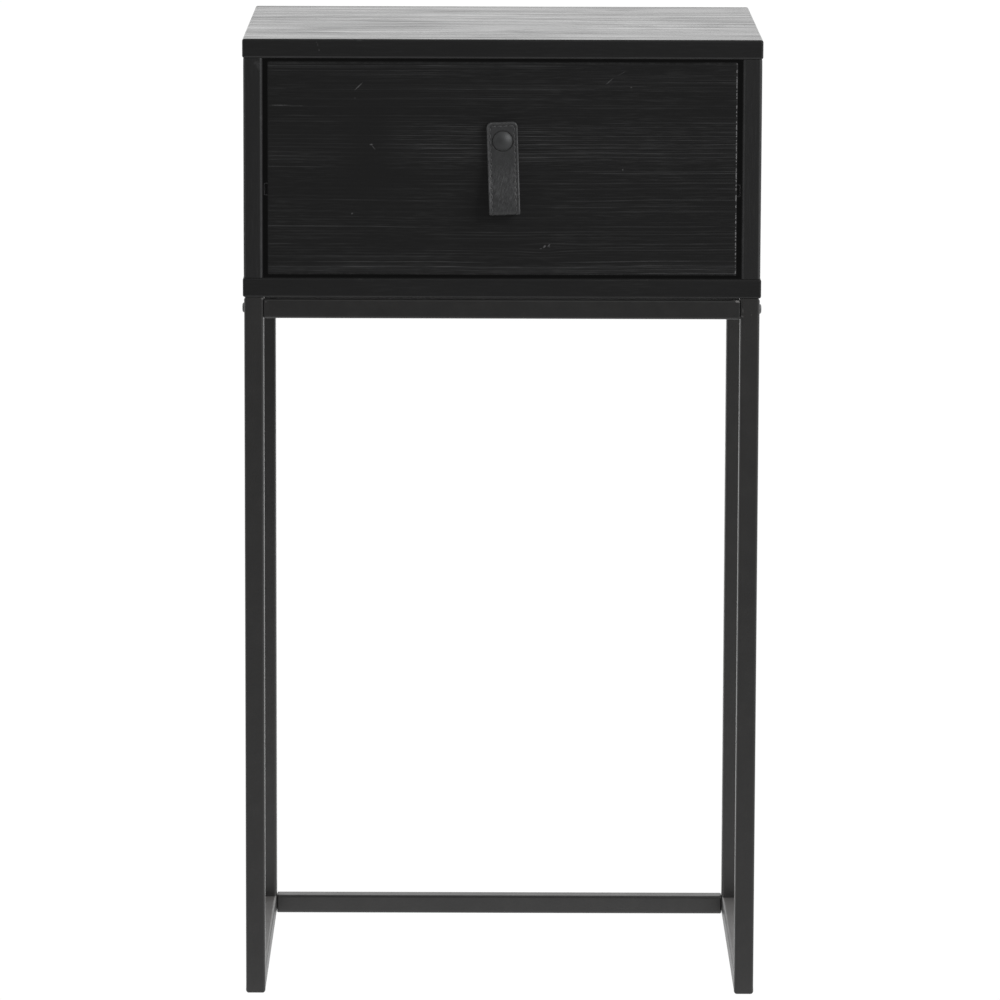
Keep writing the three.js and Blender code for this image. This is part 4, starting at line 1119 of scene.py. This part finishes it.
for side, s in (("left", -1), ("right", 1)):
    # carcass member: a rolled C whose edges turn in over the balls
    b = nb("slide_channel_" + side)
    wall, lip = (b[0], b[1]) if s < 0 else (b[1], b[0])
    zc, h = (b[4] + b[5]) / 2, (b[5] - b[4]) / 2
    t = 1.0
    path = [(lip + s * 0.35, zc - h + 1.75), (lip + s * 0.35, zc - h + t / 2), (wall - s * t / 2, zc - h + t / 2),
            (wall - s * t / 2, zc + h - t / 2), (lip + s * 0.35, zc + h - t / 2), (lip + s * 0.35, zc + h - 1.75)]
    ring = strip_ring(path, 0.9, 1.15)
    body = swept("run", lambda y: ring, [b[2], b[2] + 0.02] + list(np.linspace(b[2] + 12, b[3] - 0.02, 18)) + [b[3]])
    scr = [nb(f"slide_channel_screw_{e}_{side}") for e in ("front", "rear")]
    holes = [((wall - s * t / 2, (q[2] + q[3]) / 2, zc), (1, 0, 0), 3.1, 4) for q in scr]
    holes += [((wall - s * t / 2, y, zc), (1, 0, 0), 2.0, 4) for y in (b[2] + 60, b[2] + 128, b[2] + 190)]
    settle(drilled(body, holes), "table", "slide", "slide_steel", "slide_channel_" + side)
    # drawer member: a bar with hollow ball races on a thin plate
    b = nb("slide_bar_" + side)
    foot, tip = (b[1], b[0]) if s < 0 else (b[0], b[1])
    P = []
    for u, w in ((0, h - 0.6), (0.3, h), (1.0 - 0.25, h), (1.0, h - 0.25), (1.0, 2.9), (1.3, 2.2), (2.2, 1.9), (5.0, 1.9), (5.6, 1.72), (6.2, 1.6), (6.8, 1.6), (7.4, 1.72),
                 (7.9, 1.9), (8.7, 1.9), (9.0, 1.6)):
        P.append((foot + s * u, zc + w))
    P = P + [(x, 2 * zc - z) for x, z in P[::-1]]
    o = prism("drawer_slide_bar_" + side, np.array(P), "Y", b[2], b[3], 0.3, 10)
    settle(o, "drawer", "slide", "slide_steel", "slide_bar_" + side)
    # ball cage
    b = nb("slide_cage_" + side)
    x_in, x_web = (b[1], b[0]) if s < 0 else (b[0], b[1])
    bz = 2.95
    path = [(x_in + s * 0.1, zc - bz), (x_web - s * 0.35, zc - bz), (x_web - s * 0.35, zc + bz), (x_in + s * 0.1, zc + bz)]
    strip = swept("cage", lambda y: strip_ring(path, 0.6, 0.8), [b[2], b[2] + 0.02] + list(np.linspace(b[2] + 4, b[3] - 4, 10)) + [b[3] - 0.02, b[3]])
    sharpen(strip, 40)
    parts = [strip]
    for i in range(5):
        for u in (-1, 1):
            arc = [(math.sin(a), 1.0 - math.cos(a)) for a in np.linspace(0, math.pi, 14)]
            parts.append(lathe("ball", [(0, 0)] + arc[1:-1] + [(0, 2.0)], (x_web - s * 3.6, b[2] + 6 + i * 11, zc + u * bz - 1.0), (0, 0, 1), 24))
    settle(merged("cage_of_balls_" + side, *parts), f"slide_cage_{side}_body", "cage", "slide_cage", "slide_cage_" + side)


# ------------------------------------------------------------------ leather pull
STUD_Z = 672.0
LEAN = math.radians(-1.98)
FACE_Y = nb("drawer_front")[2]


def on_pull(x, off, z):
    """Pull coordinates (across, off the drawer front, up from the stud) to the row frame, in mm."""
    x, off, z = np.broadcast_arrays(np.asarray(x, float), off, z)
    return np.stack([x * math.cos(LEAN) + z * math.sin(LEAN), FACE_Y - off, STUD_Z - x * math.sin(LEAN) + z * math.cos(LEAN)], -1)


def pull_path():
    """Centre line of the folded strip, (off, z), from the back leaf's top end round the fold to the front leaf's top end."""
    top, zc, low = 14.5, -51.2, -15.0
    pts = [(1.5, z) for z in np.linspace(top, zc, 120)]
    # squarish fold
    for a in np.linspace(0, math.pi, 70)[1:-1]:
        ca, sa = math.cos(a), math.sin(a)
        k = 2 / 4.2
        pts.append((6.0 - 4.5 * math.copysign(abs(ca) ** k, ca), zc - 4.5 * abs(sa) ** k))
    for z in np.linspace(zc, low, 90):
        t = (low - z) / (low - zc)
        pts.append((3.5 + 7.0 * t * t * (3 - 2 * t), z))
    pts += [(3.5, z) for z in np.linspace(low, top, 70)[1:]]
    P = np.array(pts)
    L = np.concatenate([[0], np.cumsum(np.linalg.norm(np.diff(P, axis=0), axis=1))])
    return P, L


PATH, LEN = pull_path()
TOTAL = LEN[-1]
FOLD_V = LEN[int(np.argmin(PATH[:, 1]))]


def path_at(v):
    """Position and outward normal (away from the strip's inside) at length v."""
    v = np.clip(np.asarray(v, float), 0, TOTAL)
    off, z = np.interp(v, LEN, PATH[:, 0]), np.interp(v, LEN, PATH[:, 1])
    e = 0.6
    a, b = np.clip(v - e, 0, TOTAL), np.clip(v + e, 0, TOTAL)
    do = np.interp(b, LEN, PATH[:, 0]) - np.interp(a, LEN, PATH[:, 0])
    dz = np.interp(b, LEN, PATH[:, 1]) - np.interp(a, LEN, PATH[:, 1])
    n = np.hypot(do, dz)
    do, dz = do / n, dz / n
    return off, z, dz, -do  # normal: (dz, -do) in (off, z)


HALF_W, CORNER = 12.0, 4.0


def half_width(v):
    d = np.minimum(v, TOTAL - v)
    q = np.clip(CORNER - d, 0, CORNER)
    return HALF_W - CORNER + np.sqrt(np.maximum(CORNER ** 2 - q ** 2, 0))


def edge_distance(u, v):
    """Distance in from the strip's outline."""
    d_end = np.minimum(v, TOTAL - v)
    d_side = HALF_W - np.abs(u)
    inside = np.minimum(d_end, d_side)
    cu, cv = np.clip(CORNER - d_side, 0, None), np.clip(CORNER - d_end, 0, None)
    both_ = (cu > 0) & (cv > 0)
    return np.where(both_, CORNER - np.hypot(cu, cv), inside)


PITCH = 4.7
stitches = []   # (u, v, direction along u or v)
front_v = np.arange(TOTAL - 6.2, TOTAL - 96, -PITCH)
for v in front_v:
    stitches += [(-HALF_W + 2.7, v, 1), (HALF_W - 2.7, v, 1)]
for u in np.arange(-6.6, 6.7, 4.4):
    stitches.append((u, TOTAL - 3.0, 0))


def leather_height(u, v):
    """Outer face relief in mm: rolled rim, stitch channel, pricked holes, grain."""
    d = edge_distance(u, v)
    straight = 1 - np.exp(-((v - FOLD_V) / 6.0) ** 2)
    rim = 0.20 * np.exp(-((d - 0.85) / 0.5) ** 2) * straight
    channel = -0.20 * np.exp(-((d - 2.6) / 0.5) ** 2)
    panel = 0.10 * np.clip((d - 3.2) / 3.0, 0, 1)
    h = rim + channel + panel
    # the leather dips round the stud
    rs = np.hypot(u, v - (TOTAL - 14.5))
    h = h - 0.5 * np.exp(-((rs - 7.75) / 0.45) ** 2) * (v > TOTAL / 2)
    for su, sv, along in stitches:
        for end in (-0.5, 0.5):
            pu = su if along else su + end * PITCH * 0.94
            pv = sv + end * PITCH if along else sv
            near = (np.abs(u - pu) < 1.6) & (np.abs(v - pv) < 1.6)
            if near.any():
                r2 = (u[near] - pu) ** 2 + (v[near] - pv) ** 2
                h[near] -= 0.16 * np.exp(-r2 / 0.22)
    grain = (lattice(u / 0.95 + v / 3.0, v / 0.95, 61) - 0.5) * 0.035 + (lattice(u / 2.3, v / 2.3, 62) - 0.5) * 0.05
    cr_a, cr_b = u * 0.32 + v * 0.947, u * 0.947 - v * 0.32
    crease = lattice(cr_a / 5.5, cr_b / 0.95, 63)
    lower = np.clip((TOTAL - v - 22) / 25.0, 0, 1) * np.clip((v - 60) / 10.0, 0, 1)
    h = h + grain + (crease - 0.5) * 0.14 * (0.12 + 0.88 * lower)
    return h


def strap_mesh():
    T = 2.0
    nv = 340
    V = np.concatenate([[0.0, 0.12, 0.3, 0.55, 0.85, 1.2, 1.6, 2.0, 2.5, 3.0, 3.5], np.linspace(4.0, TOTAL - 4.0, nv), TOTAL - np.array([0.0, 0.12, 0.3, 0.55, 0.85, 1.2, 1.6, 2.0, 2.5, 3.0, 3.5])[::-1]])
    nu = 61
    U = np.linspace(-1, 1, nu)
    ne = 6
    rings, flat, arr, painted_recess_shade, rub = [], [], [], [], []
    for v in V:
        w = half_width(v) if 0.05 < v < TOTAL - 0.05 else HALF_W - CORNER + 0.3
        d_end = min(v, TOTAL - v)
        r_end = 0.55
        pinch = 0.0 if d_end >= r_end else r_end - math.sqrt(max(r_end ** 2 - (r_end - d_end) ** 2, 0))
        e = 0.6
        wi = w - e
        off, z, no, nz = (float(q) for q in path_at(v))
        half_t = T / 2 - pinch
        uo = U * wi
        vv = np.full(nu, v)
        ho = leather_height(uo, vv)
        ho = ho * min(1.0, d_end / 0.5)
        hi = (lattice(uo / 0.8 + 40, vv / 0.8, 71) - 0.5) * 0.06
        hi = hi * min(1.0, d_end / 0.5)
        ring = [(uo[i], half_t + ho[i]) for i in range(nu)]
        a0 = half_t
        for i in range(1, ne + 1):
            t = i / (ne + 1) * math.pi
            ring.append((wi + e * math.sin(t), a0 * math.cos(t)))
        ring += [(uo[i], -half_t - hi[i]) for i in range(nu - 1, -1, -1)]
        for i in range(1, ne + 1):
            t = math.pi - i / (ne + 1) * math.pi
            ring.append((-wi - e * math.sin(t), a0 * math.cos(t)))
        R = np.array(ring)
        offs = off + no * R[:, 1]
        zs = z + nz * R[:, 1]
        rings.append(on_pull(R[:, 0], offs, zs))
        flat.append(np.stack([R[:, 0] * MM, np.full(len(R), v) * MM, np.zeros(len(R))], 1))
        dd = edge_distance(R[:, 0], np.full(len(R), v))
        outer = (R[:, 1] > 0)
        arr.append(np.where(outer, np.exp(-((dd - 0.75) / 0.55) ** 2) * (1.15 - 0.25 * np.clip(R[:, 0] / HALF_W, -1, 1)), 0.15))
        rub.append(np.where(outer, 0.12 + 0.88 * np.clip((TOTAL - v - 24) / 18.0, 0, 1) * np.clip((v - FOLD_V - 3) / 8.0, 0, 1), 0.1))
        # painted shade: the stitch channel and a ring round the stud, darkened
        rs = np.hypot(R[:, 0], v - (TOTAL - 14.5))
        sunk = np.exp(-((dd - 2.6) / 0.5) ** 2) * 0.45 + np.exp(-((rs - 7.85) / 0.45) ** 2)
        painted_recess_shade.append(np.where(outer & (v > TOTAL / 2 - 8), np.clip(sunk, 0, 1), 0.0))
    ob = loft("strap", np.array(rings), flat_caps=True)
    at = ob.data.attributes.new("flat_pos", "FLOAT_VECTOR", "POINT")
    at.data.foreach_set("vector", np.array(flat, np.float32).ravel())
    point_value(ob, "arris", np.array(arr).ravel())
    point_value(ob, "sunk", np.array(painted_recess_shade).ravel())
    point_value(ob, "rub", np.array(rub).ravel())
    return ob


strap = strap_mesh()
paint(strap, "leather")
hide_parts("pull_strap_head", "pull_strap_loop")
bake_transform(strap)

# thread: one arched capsule a stitch, sitting in the channel
verts, faces = [], []
for su, sv, along in stitches:
    n_l, n_c = 9, 8
    length = PITCH * 0.86 if along else 4.4 * 0.84
    start = len(verts)
    for i in range(n_l):
        q = i / (n_l - 1) * 2 - 1
        rr = 0.33 * math.sqrt(max(1 - abs(q) ** 4, 0.0025))
        lift = 0.10 - 0.45 * abs(q) ** 3
        tilt = 0.22 * q
        u = su + (0 if along else q * length / 2) + (tilt if along else 0)
        v = sv + (q * length / 2 if along else 0) + (0 if along else tilt)
        off, z, no, nz = (float(k) for k in path_at(v))
        base = float(leather_height(np.array([su], float), np.array([sv], float))[0])
        for k in range(n_c):
            t = 2 * math.pi * k / n_c
            cu, ch = rr * math.cos(t), rr * math.sin(t) * 0.8
            h = 1.0 + base + 0.12 + lift + ch
            if along:
                uu, v2 = u + cu, v
            else:
                uu, v2 = u, v + cu
                off, z, no, nz = (float(kk) for kk in path_at(v2))
            verts.append(on_pull(uu, off + no * h, z + nz * h))
    for i in range(n_l - 1):
        for k in range(n_c):
            k2 = (k + 1) % n_c
            faces.append((start + i * n_c + k, start + i * n_c + k2, start + (i + 1) * n_c + k2, start + (i + 1) * n_c + k))
    faces.append(tuple(start + k for k in range(n_c))[::-1])
    faces.append(tuple(start + (n_l - 1) * n_c + k for k in range(n_c)))
thread = make("strap_thread", np.array(verts), faces)
bm = bmesh.new()
bm.from_mesh(thread.data)
bmesh.ops.recalc_face_normals(bm, faces=bm.faces)
bm.to_mesh(thread.data)
bm.free()
paint(thread, "thread")
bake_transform(thread)

# stud: a shallow dome with a turned edge, its barrel through the strap and the drawer front
H = 3.1
cap = [(7.4 * math.sin(a) / math.sin(0.80), H * (1 - math.cos(a)) / (1 - math.cos(0.80))) for a in np.linspace(0, 0.80, 16)]
prof = cap[:-1] + [(7.35, H - 0.05), (7.4, H + 0.08), (7.36, H + 0.24), (7.1, H + 0.3), (2.5, H + 0.3), (2.5, 18.3), (2.3, 18.6), (1.9, 18.6), (1.75, 18.3), (1.75, 7.2), (0, 6.9)]
settle(lathe("stud", prof, (0, FACE_Y - 8.0, STUD_Z), (0, 1, 0), 72), "drawer", "stud", "stud_metal", "pull_stud")


# ------------------------------------------------------------------ stage: a floor that shows plain white to the camera and glows as a graded light for all other rays, soft studio light
def node_math(t, op, a, b=None, clamp=False):
    x = t.nodes.new("ShaderNodeMath")
    x.operation, x.use_clamp = op, clamp
    for i, v in enumerate((a, b)):
        if v is None:
            continue
        if isinstance(v, bpy.types.NodeSocket):
            t.links.new(v, x.inputs[i])
        else:
            x.inputs[i].default_value = v
    return x.outputs[0]


def node_ramp(t, fac, stops):
    x = t.nodes.new("ShaderNodeValToRGB")
    e = x.color_ramp.elements
    while len(e) > 1:
        e.remove(e[0])
    e[0].position, e[0].color = stops[0][0], (stops[0][1],) * 3 + (1,)
    for p, c in stops[1:]:
        e.new(p).color = (c, c, c, 1)
    t.links.new(fac, x.inputs[0])
    return x.outputs[0]


world = bpy.data.worlds.new("studio")
bpy.context.scene.world = world
world.use_nodes = True
t = world.node_tree
t.nodes.clear()
w_out = t.nodes.new("ShaderNodeOutputWorld")
tc = t.nodes.new("ShaderNodeTexCoord")
sep = t.nodes.new("ShaderNodeSeparateXYZ")
t.links.new(tc.outputs["Generated"], sep.inputs[0])
dx, dy, dz = sep.outputs
# 0 towards the camera side, 1 behind the object
back = node_math(t, "MULTIPLY_ADD", dy, 0.5)
back.node.inputs[2].default_value = 0.5
STRENGTH = 1.6
FRONT_DIM = 0.045 / STRENGTH
level = node_ramp(t, back, [(0.0, FRONT_DIM), (0.32, FRONT_DIM), (0.50, 0.55), (0.62, 0.82), (1.0, 0.82)])
overhead = node_ramp(t, dz, [(0.35, 0.0), (0.9, 0.45)])
sky = node_math(t, "MAXIMUM", level, overhead)
lp = t.nodes.new("ShaderNodeLightPath")
seen = t.nodes.new("ShaderNodeBackground")
seen.inputs[0].default_value = (1, 1, 1, 1)
seen.inputs[1].default_value = 1.02
lit = t.nodes.new("ShaderNodeBackground")
t.links.new(sky, lit.inputs[0])
lit.inputs[1].default_value = STRENGTH
mx = t.nodes.new("ShaderNodeMixShader")
t.links.new(lp.outputs["Is Camera Ray"], mx.inputs[0])
t.links.new(lit.outputs[0], mx.inputs[1])
t.links.new(seen.outputs[0], mx.inputs[2])
t.links.new(mx.outputs[0], w_out.inputs["Surface"])

bm = bmesh.new()
bmesh.ops.create_grid(bm, x_segments=1, y_segments=1, size=14.0)
me = bpy.data.meshes.new("floor")
bm.to_mesh(me)
bm.free()
floor = bpy.data.objects.new("floor", me)
floor.location.z = -0.0008
bpy.context.scene.collection.objects.link(floor)
fm = bpy.data.materials.new("glowing_floor")
fm.use_nodes = True
t = fm.node_tree
t.nodes.clear()
f_out = t.nodes.new("ShaderNodeOutputMaterial")
tc = t.nodes.new("ShaderNodeTexCoord")
sep = t.nodes.new("ShaderNodeSeparateXYZ")
t.links.new(tc.outputs["Object"], sep.inputs[0])
fy = sep.outputs[1]
dist = node_math(t, "MULTIPLY_ADD", fy, -1 / 6.6, clamp=True)     # 0 behind the object, 1 at 6 m in front
dist.node.inputs[2].default_value = 0.6 / 6.6
glow = node_ramp(t, dist, [(0.0, 0.60), (0.06, 0.60), (0.08, 0.56), (0.108, 0.56), (0.120, 0.40), (0.14, 0.38), (0.20, 0.34), (0.364, 0.13), (0.618, 0.058), (0.818, 0.032), (1.0, 0.018)])
e_lit = t.nodes.new("ShaderNodeEmission")
t.links.new(glow, e_lit.inputs[0])
e_lit.inputs[1].default_value = 2.2
e_seen = t.nodes.new("ShaderNodeEmission")
e_seen.inputs[0].default_value = (1, 1, 1, 1)
e_seen.inputs[1].default_value = 1.02
lp = t.nodes.new("ShaderNodeLightPath")
mx = t.nodes.new("ShaderNodeMixShader")
t.links.new(lp.outputs["Is Camera Ray"], mx.inputs[0])
t.links.new(e_lit.outputs[0], mx.inputs[1])
t.links.new(e_seen.outputs[0], mx.inputs[2])
geo = t.nodes.new("ShaderNodeNewGeometry")
clear = t.nodes.new("ShaderNodeBsdfTransparent")
mb = t.nodes.new("ShaderNodeMixShader")
t.links.new(geo.outputs["Backfacing"], mb.inputs[0])
t.links.new(mx.outputs[0], mb.inputs[1])
t.links.new(clear.outputs[0], mb.inputs[2])
t.links.new(mb.outputs[0], f_out.inputs["Surface"])
me.materials.append(fm)


def softbox(name, at, target, size, power):
    ld = bpy.data.lights.new(name, "AREA")
    ld.shape = "RECTANGLE"
    ld.size, ld.size_y = size
    ld.energy = power
    ob = bpy.data.objects.new(name, ld)
    bpy.context.scene.collection.objects.link(ob)
    ob.location = at
    ob.rotation_mode = "QUATERNION"
    ob.rotation_quaternion = (Vector(target) - Vector(at)).to_track_quat("-Z", "Y")
    ob.visible_camera = False
    return ob


softbox("key", (2.5, -1.9, 2.1), (0, -0.1, 0.6), (1.8, 1.8), 95)
softbox("fill", (-2.6, -1.2, 1.4), (0, -0.1, 0.6), (1.4, 1.4), 9)
